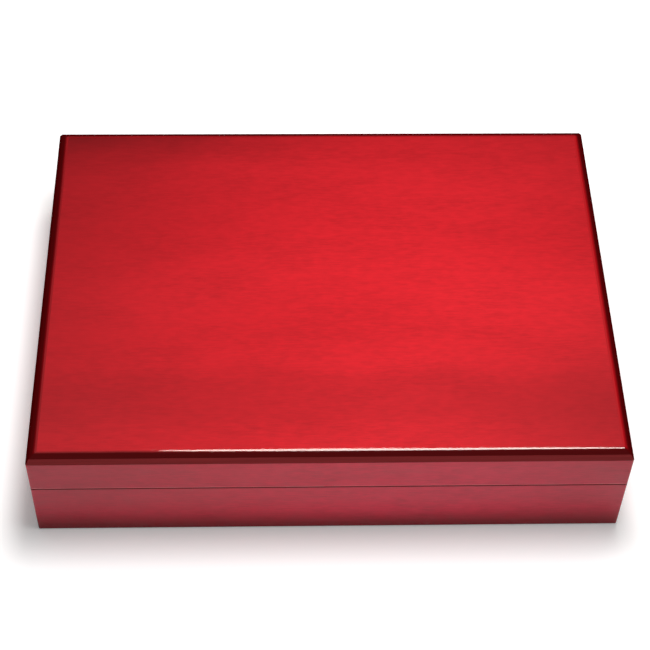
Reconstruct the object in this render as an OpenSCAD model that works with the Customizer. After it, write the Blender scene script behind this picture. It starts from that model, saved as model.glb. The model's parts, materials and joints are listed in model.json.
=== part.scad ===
// Flat hinged humidor in lacquered wood, lined with cedar. Millimetres, +Z up.
// The origin is on the table under the middle of the box, and the front faces -Y.

/* [Box] */
// Width from side to side
box_w = 292; // [270:1:340]
// Depth from front to back
box_d = 221; // [200:1:260]
// Height of the base from the table to the seam
base_h = 36.4; // [34:0.1:60]
// Height of the lid from the seam to the top
lid_h = 24.7; // [23.5:0.1:40]
// Thickness of the walls and rails
wall_t = 10; // [9.5:0.5:12]
// Radius of the upright corners
corner_r = 1; // [0.6:0.1:4]
// Gap between the rims when the lid is shut
seam_gap = 0.1; // [0.05:0.05:0.3]
// Chamfer of the outer edges along the seam
seam_ease = 0.5; // [0.2:0.1:1]
// Chamfer of the bottom edges
foot_ease = 0.5; // [0.2:0.1:2]

/* [Bevelled edging] */
// How far the bevel reaches in from the faces
bevel_in = 4.5; // [3:0.1:7]
// Height of the bevel
bevel_h = 3.9; // [3:0.1:5]
// How far in the knee of the bevel lies
knee_in = 1.8; // [1:0.1:2]
// Height of the knee above the foot of the bevel
knee_h = 2.6; // [1.6:0.1:3]
// Flat land of the edging behind the bevel
edging_land = 1; // [0.4:0.1:2]

/* [Panels] */
// Thickness of the top panel
top_t = 7; // [6:0.5:10]
// Thickness of the bottom panel
floor_t = 5; // [4:0.5:8]
// How far the bottom panel is let into the walls
floor_rabbet = 4; // [2:0.5:6]
// Thickness of the felt under the bottom panel
felt_t = 1.2; // [0.8:0.1:2]
// How far the felt stays inside the walls
felt_margin = 0.5; // [0.2:0.1:2]
// How far the walls stay clear of the table
foot_gap = 0.3; // [0.2:0.1:0.7]

/* [Cedar lining] */
// Thickness of the lining boards
cedar_t = 4; // [3:0.5:6]
// Thickness of the lining sheet on the bottom panel
cedar_floor_t = 3; // [2:0.5:5]
// Thickness of the lining sheet under the top panel
cedar_ceiling_t = 3.5; // [3:0.5:5]
// How far the lining stands above the rim of the base
lip_h = 5.5; // [3:0.5:7]
// Clearance of the lip inside the rails
lip_relief = 0.35; // [0.3:0.05:0.6]
// Chamfer of the lip
lip_ease = 1; // [0.5:0.1:1.5]
// Gap above the lip
lip_gap = 0.5; // [0.3:0.1:1]

/* [Hinges] */
// Length of a hinge
hinge_len = 34; // [30:1:44]
// Distance from a side of the box to the middle of the hinge
hinge_in = 52; // [40:1:80]
// Distance from the back face to the hinge axis
hinge_axis_in = 2.8; // [2.7:0.1:3.2]
// Radius of the barrel
barrel_r = 2.3; // [2:0.1:2.4]
// Clearance around the barrel
barrel_clear = 0.3; // [0.2:0.05:0.4]
// Gap between neighbouring knuckles
knuckle_gap = 0.2; // [0.1:0.05:0.4]
// Thickness of a leaf
leaf_t = 1.5; // [1.2:0.1:1.8]
// Gap around a leaf in its recess
leaf_fit = 0.1; // [0.05:0.05:0.2]
// Radius of the pin
pin_r = 1; // [0.8:0.1:1.2]
// Running clearance of the pin
pin_fit = 0.04; // [0.02:0.01:0.08]
// Radius of the heads of the pin
pin_head_r = 1.7; // [1.4:0.1:2]
// Thickness of the heads of the pin
pin_head_t = 0.8; // [0.5:0.1:1.2]
// Angle at which the bevelled back edges of lid and base meet
open_deg = 95; // [95:1:105]
// Angle left between those edges
stop_slack = 1; // [0.5:0.5:3]

/* [Hinge screws] */
// Screws in a leaf
screw_count = 3; // [2:1:4]
// Distance between screws
screw_pitch = 11.5; // [8:0.5:11.5]
// Distance from the hinge axis to the screws
screw_in = 4.5; // [4.4:0.1:4.8]
// Radius of a head
screw_head_r = 1.7; // [1.4:0.1:1.8]
// Height of a head
screw_head_h = 1; // [0.8:0.1:1.1]
// Radius of a shank
screw_r = 0.9; // [0.7:0.1:1]
// Length of a screw
screw_len = 9; // [6:0.5:12]
// Width and depth of the slot in a head
screw_slot = 0.5; // [0.3:0.1:0.6]
// Clearance around a screw
screw_fit = 0.05; // [0.02:0.01:0.1]

/* [Hygrometer] */
// Distance from the middle of the box towards the left side
hygro_left = 72; // [60:1:85]
// Radius of the case
case_r = 20; // [18:0.5:24]
// Thickness of the wall of the case
case_wall = 0.6; // [0.5:0.1:1]
// Depth of the case behind the ceiling
case_depth = 7.4; // [6.8:0.1:8]
// How far the case stands out of the ceiling
case_proud = 1.4; // [1.3:0.1:2]
// Clearance of the case in its bore
case_fit = 0.1; // [0.05:0.05:0.2]
// Width of the shoulder that the dial rests on
shoulder_w = 1.2; // [0.8:0.1:2]
// How far behind the ceiling the shoulder lies
shoulder_in = 0.35; // [0.2:0.05:0.5]
// Thickness of the dial
dial_t = 0.5; // [0.3:0.1:0.6]
// Radius of the hole in the dial
dial_hole_r = 1.4; // [1.2:0.1:2]
// Thickness of the glass
glass_t = 1.2; // [1:0.1:1.6]
// How far the bezel reaches out past the case
bezel_w = 3; // [2:0.5:5]
// How far the bezel reaches in over the glass
bezel_lip = 1.2; // [0.8:0.1:2]
// Thickness of the bezel over the glass
bezel_face = 0.6; // [0.5:0.1:1]
// Radius of the arbor
arbor_r = 0.6; // [0.5:0.05:0.7]
// Running clearance of the arbor
arbor_fit = 0.05; // [0.02:0.01:0.08]
// Radius of the bearing
bearing_r = 2.4; // [1.6:0.1:3]
// Length of the bearing
bearing_len = 2.4; // [1.5:0.1:2.6]
// Radius of the hub of the pointer
hub_r = 1.8; // [1.4:0.1:2.2]
// Length of the pointer from its axis
pointer_len = 15.5; // [12:0.5:16]
// Thickness of the pointer
pointer_t = 0.3; // [0.2:0.1:0.4]
// Gap between the dial and the pointer
pointer_gap = 0.45; // [0.3:0.05:0.5]
// Angle of the scale from end to end
scale_deg = 270; // [180:5:300]
// Humidity that the pointer shows at rest
reading = 70; // [40:1:80]
// Turns of the coil
coil_turns = 5; // [3:1:6]
// Outer radius of the coil
coil_r = 13; // [10:0.5:14]
// Height of the coil
coil_h = 1.8; // [1:0.1:2]
// Thickness of the strip of the coil
coil_t = 0.25; // [0.2:0.05:0.4]
// Gap between the dial and the coil
coil_gap = 1; // [0.6:0.1:1.2]
// Radius of the collet inside the coil
collet_r = 1.2; // [1:0.1:1.6]
// Gap between the collet and the coil
collet_gap = 0.4; // [0.3:0.05:0.6]
// Radius of the stud that holds the coil
stud_r = 0.9; // [0.6:0.1:1.2]

/* [Humidifier] */
// Distance from the middle of the box towards the right side
humid_right = 58; // [50:1:70]
// Width of the tray
humid_w = 92; // [80:1:110]
// Depth of the tray
humid_d = 44; // [36:1:60]
// Height of the tray
humid_h = 10; // [8:0.5:10]
// Radius of the corners of the tray
humid_r = 4; // [3.5:0.5:8]
// Wall of the tray
humid_wall = 1.6; // [1.2:0.1:2]
// Thickness of the back of the tray
humid_back = 2; // [1.6:0.1:2.5]
// Thickness of the grille
grille_t = 1.6; // [1.2:0.1:1.8]
// Depth of the rim of the grille inside the tray
grille_rim_h = 2.5; // [1.5:0.1:3]
// Thickness of the rim of the grille
grille_rim_t = 1.2; // [0.8:0.1:1.6]
// Slots in each of the two rows
slot_count = 9; // [5:1:11]
// Width of a slot
slot_w = 3; // [2:0.1:4]
// Length of a slot
slot_len = 15; // [10:0.5:16]
// Distance between slots
slot_pitch = 8; // [6.5:0.1:8.5]
// Thickness of the strike plate
plate_t = 0.8; // [0.5:0.1:1.2]
// Width of the strike plate
plate_w = 72; // [66:1:80]
// Depth of the strike plate
plate_d = 24; // [16:1:30]
// Air gap between the plate and the tray
magnet_gap = 0.1; // [0.05:0.05:0.3]
// Radius of a magnet
magnet_r = 5; // [3:0.5:7]
// Thickness of a magnet
magnet_t = 1.2; // [0.8:0.1:1.3]
// Distance between the magnets
magnet_pitch = 52; // [40:1:56]
// Clearance of inserts in the tray
insert_fit = 0.1; // [0.05:0.05:0.2]

/* [Divider] */
// Distance from the middle of the box towards the right side
divider_right = 44; // [0:1:44]
// Thickness of the divider
divider_t = 4; // [3:0.5:6]
// Height of the divider
divider_h = 18; // [12:0.5:18]
// Clearance at each end of the divider
divider_fit = 0.3; // [0.2:0.05:0.5]
// Clearance under the divider
divider_lift = 0.1; // [0.05:0.05:0.3]
// Chamfer of the top edges of the divider
divider_ease = 0.8; // [0.3:0.1:1.2]

/* [Hidden] */
$fn = 64;
slack = 1;
lacquer_red = [0.62, 0.05, 0.07];
edging_dark = [0.16, 0.01, 0.01];
cedar_pale = [0.72, 0.47, 0.30];
fibreboard = [0.45, 0.33, 0.22];
felt_black = [0.05, 0.05, 0.05];
brass = [0.80, 0.62, 0.28];
steel = [0.62, 0.63, 0.65];
plastic_black = [0.04, 0.04, 0.04];
foam_green = [0.20, 0.36, 0.18];
dial_cream = [0.93, 0.91, 0.84];
pointer_black = [0.08, 0.08, 0.09];
coil_copper = [0.62, 0.38, 0.22];
clear = [0.85, 0.92, 0.95, 0.3];

box_h = base_h + lid_h;
lid_z = base_h + seam_gap;
bevel_z = box_h - bevel_h;
panel_z = box_h - top_t;
ceiling_z = panel_z - cedar_ceiling_t;
floor_top = felt_t + floor_t;
cedar_floor_top = floor_top + cedar_floor_t;
lip_top = base_h + lip_h;
lid_lining_z = lip_top + lip_gap;
inner_w = box_w - 2 * wall_t;
inner_d = box_d - 2 * wall_t;
room_d = inner_d - 2 * cedar_t;
mitre_in = wall_t + slack;

axis_y = box_d / 2 - hinge_axis_in;
axis_z = base_h + seam_gap / 2;
hinge_x = box_w / 2 - hinge_in;
vee_deg = (open_deg + stop_slack) / 2;
knuckle_pitch = hinge_len / 3;
knuckle_len = knuckle_pitch - knuckle_gap;
leaf_w = wall_t - hinge_axis_in - leaf_fit;
barrel_room = hinge_len + 2 * (pin_head_t + barrel_clear);

dial_z = shoulder_in - dial_t;
pointer_z = dial_z - pointer_gap - pointer_t;
pointer_turn = (reading - 50) * scale_deg / 100 - 180;
case_back = case_depth - case_wall;
coil_z = shoulder_in + coil_gap;
coil_inner_r = collet_r + collet_gap;

tray_z = -plate_t - magnet_gap;
tray_open_z = tray_z - humid_h;
foam_bottom = tray_open_z + grille_rim_h + insert_fit;

// Outline of the box seen from above.
module box_outline() {
    square([box_w - 2 * corner_r, box_d], center = true);
    square([box_w, box_d - 2 * corner_r], center = true);
    for (x = [-1, 1], y = [-1, 1])
        translate([x * (box_w / 2 - corner_r), y * (box_d / 2 - corner_r)])
            circle(corner_r);
}

// Places what is drawn with x along a side and y inwards from its outer face.
module on_side(side) {
    turn = side == "front" ? 0 : side == "right" ? 90 : side == "back" ? 180 : 270;
    reach = (turn % 180 == 0 ? box_d : box_w) / 2;
    rotate([0, 0, turn])
        translate([0, -reach, 0])
            children();
}

function side_len(side) = side == "front" || side == "back" ? box_w : box_d;

// Runs a section, drawn as inwards and up, along x.
module run(len) {
    rotate([90, 0, 90])
        translate([0, 0, -len / 2])
            linear_extrude(len)
                children();
}

// A board along one side, mitred at both ends, with the upright corners rounded.
module mitred_board(side, section) {
    half = side_len(side) / 2;
    intersection() {
        on_side(side) intersection() {
            run(2 * half) polygon(section);
            linear_extrude(box_h)
                polygon([[-half, 0], [half, 0], [half - mitre_in, mitre_in], [mitre_in - half, mitre_in]]);
        }
        linear_extrude(box_h) box_outline();
    }
}

// The groove along the back whose faces meet when the lid is open.
module back_groove() {
    rise = (hinge_axis_in + slack) * tan(vee_deg);
    on_side("back") run(box_w + 2 * slack)
        polygon([[hinge_axis_in, axis_z], [-slack, axis_z + rise], [-slack, axis_z - rise]]);
}

// Repeats at both hinges, with the hinge axis along x.
module at_hinges() {
    for (side = [-1, 1])
        translate([side * hinge_x, axis_y, axis_z])
            children();
}

module across(r, len) {
    rotate([0, 90, 0])
        cylinder(r = r, h = len, center = true);
}

// Repeats at the screws of a leaf, with the face of the leaf at z = 0.
module at_screws() {
    for (i = [0 : screw_count - 1])
        translate([(i - (screw_count - 1) / 2) * screw_pitch, -screw_in, 0])
            children();
}

// A countersunk screw pointing down, grown by fit on all sides.
module screw_body(fit) {
    translate([0, 0, -screw_head_h])
        cylinder(r1 = screw_r + fit, r2 = screw_head_r + fit, h = screw_head_h);
    translate([0, 0, -screw_len - fit])
        cylinder(r = screw_r + fit, h = screw_len + fit);
}

module screw() {
    difference() {
        screw_body(0);
        cube([3 * screw_head_r, screw_slot, 2 * screw_slot], center = true);
    }
}

// What a hinge takes out of the rim under it.
module leaf_recess() {
    translate([-hinge_len / 2 - leaf_fit, -wall_t, -seam_gap / 2 - leaf_t])
        cube([hinge_len + 2 * leaf_fit, wall_t, leaf_t + slack]);
    across(barrel_r + barrel_clear, barrel_room);
    translate([0, 0, -seam_gap / 2])
        at_screws() screw_body(screw_fit);
}

// A leaf below the hinge axis, with knuckles at the places in own.
module leaf(own, other) {
    difference() {
        union() {
            translate([-hinge_len / 2, -leaf_w, -seam_gap / 2 - leaf_t])
                cube([hinge_len, leaf_w, leaf_t]);
            for (i = own)
                translate([i * knuckle_pitch, 0, 0])
                    across(barrel_r, knuckle_len);
        }
        for (i = other)
            translate([i * knuckle_pitch, 0, 0])
                across(barrel_r + barrel_clear, knuckle_pitch + knuckle_gap);
        across(pin_r + pin_fit, barrel_room);
        translate([0, 0, -seam_gap / 2])
            at_screws() screw_body(screw_fit);
    }
}

module base_leaf(side) {
    color(brass)
        translate([side * hinge_x, axis_y, axis_z])
            leaf([-1, 1], [0]);
}

module lid_leaf(side) {
    color(brass)
        translate([side * hinge_x, axis_y, axis_z])
            mirror([0, 0, 1])
                leaf([0], [-1, 1]);
}

module hinge_pin(side) {
    color(steel)
        translate([side * hinge_x, axis_y, axis_z]) {
            across(pin_r, hinge_len + pin_head_t);
            for (x = [-1, 1])
                translate([x * (hinge_len + pin_head_t) / 2, 0, 0])
                    across(pin_head_r, pin_head_t);
        }
}

module base_wall(side) {
    section = [
        [foot_ease, foot_gap],
        [wall_t - floor_rabbet, foot_gap],
        [wall_t - floor_rabbet, floor_top],
        [wall_t, floor_top],
        [wall_t, base_h],
        [seam_ease, base_h],
        [0, base_h - seam_ease],
        [0, foot_gap + foot_ease]
    ];
    color(lacquer_red) difference() {
        mitred_board(side, section);
        back_groove();
        if (side == "back")
            at_hinges() leaf_recess();
    }
}

module lid_rail(side) {
    section = [
        [seam_ease, lid_z],
        [wall_t, lid_z],
        [wall_t, panel_z],
        [0, panel_z],
        [0, lid_z + seam_ease]
    ];
    color(lacquer_red) difference() {
        mitred_board(side, section);
        back_groove();
        if (side == "back")
            at_hinges() mirror([0, 0, 1]) leaf_recess();
    }
}

module lid_edging(side) {
    section = [
        [0, bevel_z],
        [bevel_in + edging_land, bevel_z],
        [bevel_in + edging_land, box_h],
        [bevel_in, box_h],
        [knee_in, bevel_z + knee_h]
    ];
    color(edging_dark) mitred_board(side, section);
}

module lid_top_panel() {
    edging_w = bevel_in + edging_land;
    color(lacquer_red) difference() {
        union() {
            translate([0, 0, panel_z])
                linear_extrude(top_t - bevel_h) box_outline();
            translate([edging_w - box_w / 2, edging_w - box_d / 2, panel_z])
                cube([box_w - 2 * edging_w, box_d - 2 * edging_w, top_t]);
        }
        at_hygrometer()
            cylinder(r = case_r + case_fit, h = case_depth + case_fit);
    }
}

module base_floor() {
    grow = 2 * floor_rabbet;
    color(fibreboard)
        translate([-(inner_w + grow) / 2, -(inner_d + grow) / 2, felt_t])
            cube([inner_w + grow, inner_d + grow, floor_t]);
}

module base_felt() {
    grow = 2 * (floor_rabbet - felt_margin);
    color(felt_black)
        translate([-(inner_w + grow) / 2, -(inner_d + grow) / 2, 0])
            cube([inner_w + grow, inner_d + grow, felt_t]);
}

module base_cedar_floor() {
    color(cedar_pale)
        translate([-inner_w / 2, -inner_d / 2, floor_top])
            cube([inner_w, inner_d, cedar_floor_t]);
}

// A lining board of the base. The boards at the sides stand between the other two.
module base_cedar(side) {
    across_front = side == "front" || side == "back";
    len = across_front ? inner_w : room_d;
    ends = across_front ? 2 * lip_relief : 0;
    color(cedar_pale) on_side(side) translate([0, wall_t, 0]) {
        translate([-len / 2, 0, cedar_floor_top])
            cube([len, cedar_t, base_h - cedar_floor_top]);
        run(len - ends)
            polygon([
                [lip_relief, base_h - slack],
                [cedar_t, base_h - slack],
                [cedar_t, lip_top],
                [lip_relief + lip_ease, lip_top],
                [lip_relief, lip_top - lip_ease]
            ]);
    }
}

// A lining strip of the lid, above the lip.
module lid_cedar(side) {
    len = side == "front" || side == "back" ? inner_w : room_d;
    color(cedar_pale) on_side(side)
        translate([-len / 2, wall_t, lid_lining_z])
            cube([len, cedar_t, ceiling_z - lid_lining_z]);
}

module lid_cedar_ceiling() {
    color(cedar_pale) difference() {
        translate([-inner_w / 2, -inner_d / 2, ceiling_z])
            cube([inner_w, inner_d, cedar_ceiling_t]);
        at_hygrometer()
            cylinder(r = case_r + case_fit, h = 2 * case_depth, center = true);
    }
}

// The hygrometer is drawn with z = 0 at the ceiling and z into the lid.
module at_hygrometer() {
    translate([-hygro_left, 0, ceiling_z])
        children();
}

module hygrometer_case() {
    wall_r = case_r - case_wall;
    shoulder_r = wall_r - shoulder_w;
    bore = arbor_r + arbor_fit;
    color(brass) at_hygrometer() {
        rotate_extrude() polygon([
            [wall_r, -case_proud],
            [case_r, -case_proud],
            [case_r, case_depth],
            [0, case_depth],
            [0, case_back],
            [bore, case_back],
            [bore, case_back - bearing_len],
            [bearing_r, case_back - bearing_len],
            [bearing_r, case_back],
            [shoulder_r, case_back],
            [shoulder_r, shoulder_in],
            [wall_r, shoulder_in]
        ]);
        translate([coil_r + coil_t + stud_r, 0, coil_z])
            cylinder(r = stud_r, h = case_depth - case_wall / 2 - coil_z);
    }
}

module hygrometer_dial() {
    color(dial_cream) at_hygrometer()
        translate([0, 0, dial_z])
            difference() {
                cylinder(r = case_r - case_wall - case_fit, h = dial_t);
                translate([0, 0, -slack])
                    cylinder(r = dial_hole_r, h = dial_t + 2 * slack);
            }
}

module hygrometer_glass() {
    color(clear) at_hygrometer()
        translate([0, 0, -case_proud - glass_t])
            cylinder(r = case_r, h = glass_t);
}

module hygrometer_bezel() {
    bore = case_r + case_fit;
    rim = case_r + bezel_w;
    seat = -case_proud - glass_t;
    face = seat - bezel_face;
    color(brass) at_hygrometer()
        rotate_extrude() polygon([
            [bore, 0],
            [rim - bezel_face, 0],
            [rim, -bezel_face],
            [rim, -2 * bezel_face],
            [bore + bezel_face, face],
            [case_r - bezel_lip, face],
            [case_r - bezel_lip, seat],
            [bore, seat]
        ]);
}

module hygrometer_arbor() {
    color(steel) at_hygrometer() {
        translate([0, 0, pointer_z])
            cylinder(r = arbor_r, h = case_back - arbor_fit - pointer_z);
        translate([0, 0, coil_z])
            cylinder(r = collet_r, h = coil_h);
    }
}

module hygrometer_pointer() {
    tip_w = hub_r / 4;
    tail = pointer_len / 3;
    color(pointer_black) at_hygrometer()
        translate([0, 0, pointer_z])
            rotate([0, 0, pointer_turn])
                linear_extrude(pointer_t) difference() {
                    union() {
                        circle(hub_r);
                        polygon([[-tip_w, -tail], [tip_w, -tail], [tip_w, 0], [0, pointer_len], [-tip_w, 0]]);
                    }
                    circle(arbor_r + arbor_fit / 2);
                }
}

// A flat spiral strip, from the collet of the arbor to the stud of the case.
module hygrometer_coil() {
    steps = 24 * coil_turns;
    edge = [
        for (i = [0 : steps])
            [coil_inner_r + (coil_r - coil_inner_r) * i / steps, 360 * coil_turns * i / steps]
    ];
    inside = [for (p = edge) p[0] * [cos(p[1]), sin(p[1])]];
    outside = [for (i = [steps : -1 : 0]) (edge[i][0] + coil_t) * [cos(edge[i][1]), sin(edge[i][1])]];
    color(coil_copper) at_hygrometer()
        translate([0, 0, coil_z])
            linear_extrude(coil_h)
                polygon(concat(inside, outside));
}

// The humidifier is drawn with z = 0 at the ceiling.
module at_humidifier() {
    translate([humid_right, 0, ceiling_z])
        children();
}

module tray_outline(inset) {
    w = humid_w - 2 * inset;
    d = humid_d - 2 * inset;
    r = humid_r - inset;
    square([w - 2 * r, d], center = true);
    square([w, d - 2 * r], center = true);
    for (x = [-1, 1], y = [-1, 1])
        translate([x * (w / 2 - r), y * (d / 2 - r)])
            circle(r);
}

module at_magnets() {
    for (x = [-1, 1])
        translate([x * magnet_pitch / 2, 0, tray_z])
            children();
}

module humidifier_plate() {
    color(steel) at_humidifier()
        translate([-plate_w / 2, -plate_d / 2, -plate_t])
            cube([plate_w, plate_d, plate_t]);
}

module humidifier_case() {
    color(plastic_black) at_humidifier() difference() {
        translate([0, 0, tray_open_z])
            linear_extrude(humid_h) tray_outline(0);
        translate([0, 0, tray_open_z - slack])
            linear_extrude(humid_h - humid_back + slack) tray_outline(humid_wall);
        at_magnets()
            cylinder(r = magnet_r + insert_fit, h = 2 * magnet_t, center = true);
    }
}

module humidifier_magnets() {
    color(steel) at_humidifier()
        at_magnets()
            translate([0, 0, -magnet_t])
                cylinder(r = magnet_r, h = magnet_t);
}

module slot() {
    half = (slot_len - slot_w) / 2;
    square([slot_w, 2 * half], center = true);
    for (y = [-half, half])
        translate([0, y])
            circle(slot_w / 2);
}

module humidifier_grille() {
    rim_in = humid_wall + insert_fit;
    row_y = humid_d / 4 - rim_in / 2;
    color(plastic_black) at_humidifier() translate([0, 0, tray_open_z - grille_t]) {
        linear_extrude(grille_t) difference() {
            tray_outline(0);
            for (i = [0 : slot_count - 1], y = [-row_y, row_y])
                translate([(i - (slot_count - 1) / 2) * slot_pitch, y])
                    slot();
        }
        translate([0, 0, grille_t / 2])
            linear_extrude(grille_t / 2 + grille_rim_h) difference() {
                tray_outline(rim_in);
                tray_outline(rim_in + grille_rim_t);
            }
    }
}

module humidifier_foam() {
    inset = humid_wall + insert_fit;
    color(foam_green) at_humidifier()
        translate([0, 0, foam_bottom])
            linear_extrude(tray_z - humid_back - foam_bottom) tray_outline(inset);
}

module divider() {
    half = divider_t / 2;
    color(cedar_pale)
        translate([divider_right, 0, cedar_floor_top + divider_lift])
            rotate([0, 0, 90])
                run(room_d - 2 * divider_fit)
                    polygon([
                        [-half, 0],
                        [half, 0],
                        [half, divider_h - divider_ease],
                        [half - divider_ease, divider_h],
                        [divider_ease - half, divider_h],
                        [-half, divider_h - divider_ease]
                    ]);
}

module hinge_base_screws() {
    color(brass) at_hinges()
        translate([0, 0, -seam_gap / 2])
            at_screws() screw();
}

module hinge_lid_screws() {
    color(brass) at_hinges() mirror([0, 0, 1])
        translate([0, 0, -seam_gap / 2])
            at_screws() screw();
}

base_wall("front");  // base_front_wall
base_wall("back");  // base_back_wall
base_wall("left");  // base_left_wall
base_wall("right");  // base_right_wall
base_floor();
base_felt();
base_cedar_floor();
base_cedar("front");  // base_cedar_front
base_cedar("back");  // base_cedar_back
base_cedar("left");  // base_cedar_left
base_cedar("right");  // base_cedar_right
base_leaf(-1);  // hinge_left_base_leaf
base_leaf(1);  // hinge_right_base_leaf
hinge_pin(-1);  // hinge_left_pin
hinge_pin(1);  // hinge_right_pin
hinge_base_screws();
lid_top_panel();
lid_rail("front");  // lid_front_rail
lid_rail("back");  // lid_back_rail
lid_rail("left");  // lid_left_rail
lid_rail("right");  // lid_right_rail
lid_edging("front");  // lid_front_edging
lid_edging("back");  // lid_back_edging
lid_edging("left");  // lid_left_edging
lid_edging("right");  // lid_right_edging
lid_cedar_ceiling();
lid_cedar("front");  // lid_cedar_front
lid_cedar("back");  // lid_cedar_back
lid_cedar("left");  // lid_cedar_left
lid_cedar("right");  // lid_cedar_right
lid_leaf(-1);  // hinge_left_lid_leaf
lid_leaf(1);  // hinge_right_lid_leaf
hinge_lid_screws();
hygrometer_case();
hygrometer_bezel();
hygrometer_glass();
hygrometer_dial();
hygrometer_coil();
hygrometer_arbor();
hygrometer_pointer();
humidifier_plate();
humidifier_case();
humidifier_grille();
humidifier_foam();
humidifier_magnets();
divider();
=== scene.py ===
"""Looks of a flat humidor in red gloss lacquer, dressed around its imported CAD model.

The boards of the case, the dark edging of the lid, the felt, the foam and the scale of
the dial are made here. Every other CAD piece stays and gets its finish. Metres, +Z up,
and the front of the box faces -Y.
"""

import functools
import json
import logging
import math
from collections.abc import Iterator
from dataclasses import dataclass, replace
from enum import Enum

import bmesh
import bpy
from mathutils import Matrix, Vector, noise

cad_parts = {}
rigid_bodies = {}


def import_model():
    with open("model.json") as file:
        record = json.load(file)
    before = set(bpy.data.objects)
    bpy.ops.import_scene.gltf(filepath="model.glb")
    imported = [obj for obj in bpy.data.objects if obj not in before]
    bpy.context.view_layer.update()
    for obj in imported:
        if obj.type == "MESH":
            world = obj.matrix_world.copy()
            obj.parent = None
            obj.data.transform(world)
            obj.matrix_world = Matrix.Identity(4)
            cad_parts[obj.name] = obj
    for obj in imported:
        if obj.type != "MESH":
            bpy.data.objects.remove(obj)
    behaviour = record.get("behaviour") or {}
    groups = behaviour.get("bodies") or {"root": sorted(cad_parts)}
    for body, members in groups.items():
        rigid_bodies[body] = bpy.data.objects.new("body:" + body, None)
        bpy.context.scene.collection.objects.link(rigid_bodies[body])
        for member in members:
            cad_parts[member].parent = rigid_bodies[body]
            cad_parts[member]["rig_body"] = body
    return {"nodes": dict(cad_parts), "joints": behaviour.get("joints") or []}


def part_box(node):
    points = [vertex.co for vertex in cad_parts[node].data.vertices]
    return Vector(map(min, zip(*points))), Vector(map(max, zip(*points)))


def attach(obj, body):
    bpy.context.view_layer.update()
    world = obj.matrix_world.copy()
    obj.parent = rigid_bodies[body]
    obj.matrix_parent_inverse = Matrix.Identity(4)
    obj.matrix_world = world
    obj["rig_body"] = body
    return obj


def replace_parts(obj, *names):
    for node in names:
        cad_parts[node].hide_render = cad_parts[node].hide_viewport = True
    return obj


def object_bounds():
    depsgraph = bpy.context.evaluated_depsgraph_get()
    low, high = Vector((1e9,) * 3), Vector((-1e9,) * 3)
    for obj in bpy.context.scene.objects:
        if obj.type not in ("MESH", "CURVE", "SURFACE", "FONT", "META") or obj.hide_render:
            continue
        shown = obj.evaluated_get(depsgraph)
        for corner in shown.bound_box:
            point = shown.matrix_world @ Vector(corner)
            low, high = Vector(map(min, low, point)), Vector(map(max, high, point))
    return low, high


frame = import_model()
cad_low, cad_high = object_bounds()

LOG = logging.getLogger("humidor")
MM = 0.001
WELD = 0.0005 * MM
CREASE_DEG = 24.0
EASE_WELD = 0.001 * MM
EASE_STEPS = 3
EASE_DEG = 35.0
LACQUER_IOR = 1.5
GLASS_IOR = 1.45
FUZZ_ROUGHNESS = 0.5
NOWHERE = (0.0, 0.0, 0.0)
WHITE = (1.0, 1.0, 1.0, 1.0)

Build = bmesh.types.BMesh
Material = bpy.types.Material
Mesh = bpy.types.Mesh
Piece = bpy.types.Object
Socket = bpy.types.NodeSocket
Tree = bpy.types.NodeTree
Colour = tuple[float, float, float, float]
Flat = tuple[float, float]
Point = tuple[float, float, float]
Ramp = tuple[float, float, float, float]
Feed = float | tuple[float, ...] | Socket
Feeds = dict[str | int, Feed]


def srgb(red: int, green: int, blue: int) -> Colour:
    """Turns a screen colour into the linear colour that a shader takes.

    Args:
        red: Red from 0 to 255.
        green: Green from 0 to 255.
        blue: Blue from 0 to 255.

    Returns:
        The linear colour, opaque.
    """
    shares = (level / 255 for level in (red, green, blue))
    linear = [s / 12.92 if s <= 0.04045 else ((s + 0.055) / 1.055) ** 2.4 for s in shares]
    return (*linear, 1.0)


class Grain(Enum):
    """Direction in which the grain of a board runs."""

    ACROSS = "x"
    DEPTH = "y"


class Side(Enum):
    """Side of the box, by the turn in degrees that brings the front to it."""

    FRONT = 0
    RIGHT = 90
    BACK = 180
    LEFT = 270

    @property
    def label(self) -> str:
        """Name of the side as the pieces use it."""
        return self.name.lower()

    @property
    def grain(self) -> Grain:
        """Direction of the grain of a board along this side."""
        return Grain.ACROSS if self in (Side.FRONT, Side.BACK) else Grain.DEPTH


# Shader graphs


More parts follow.
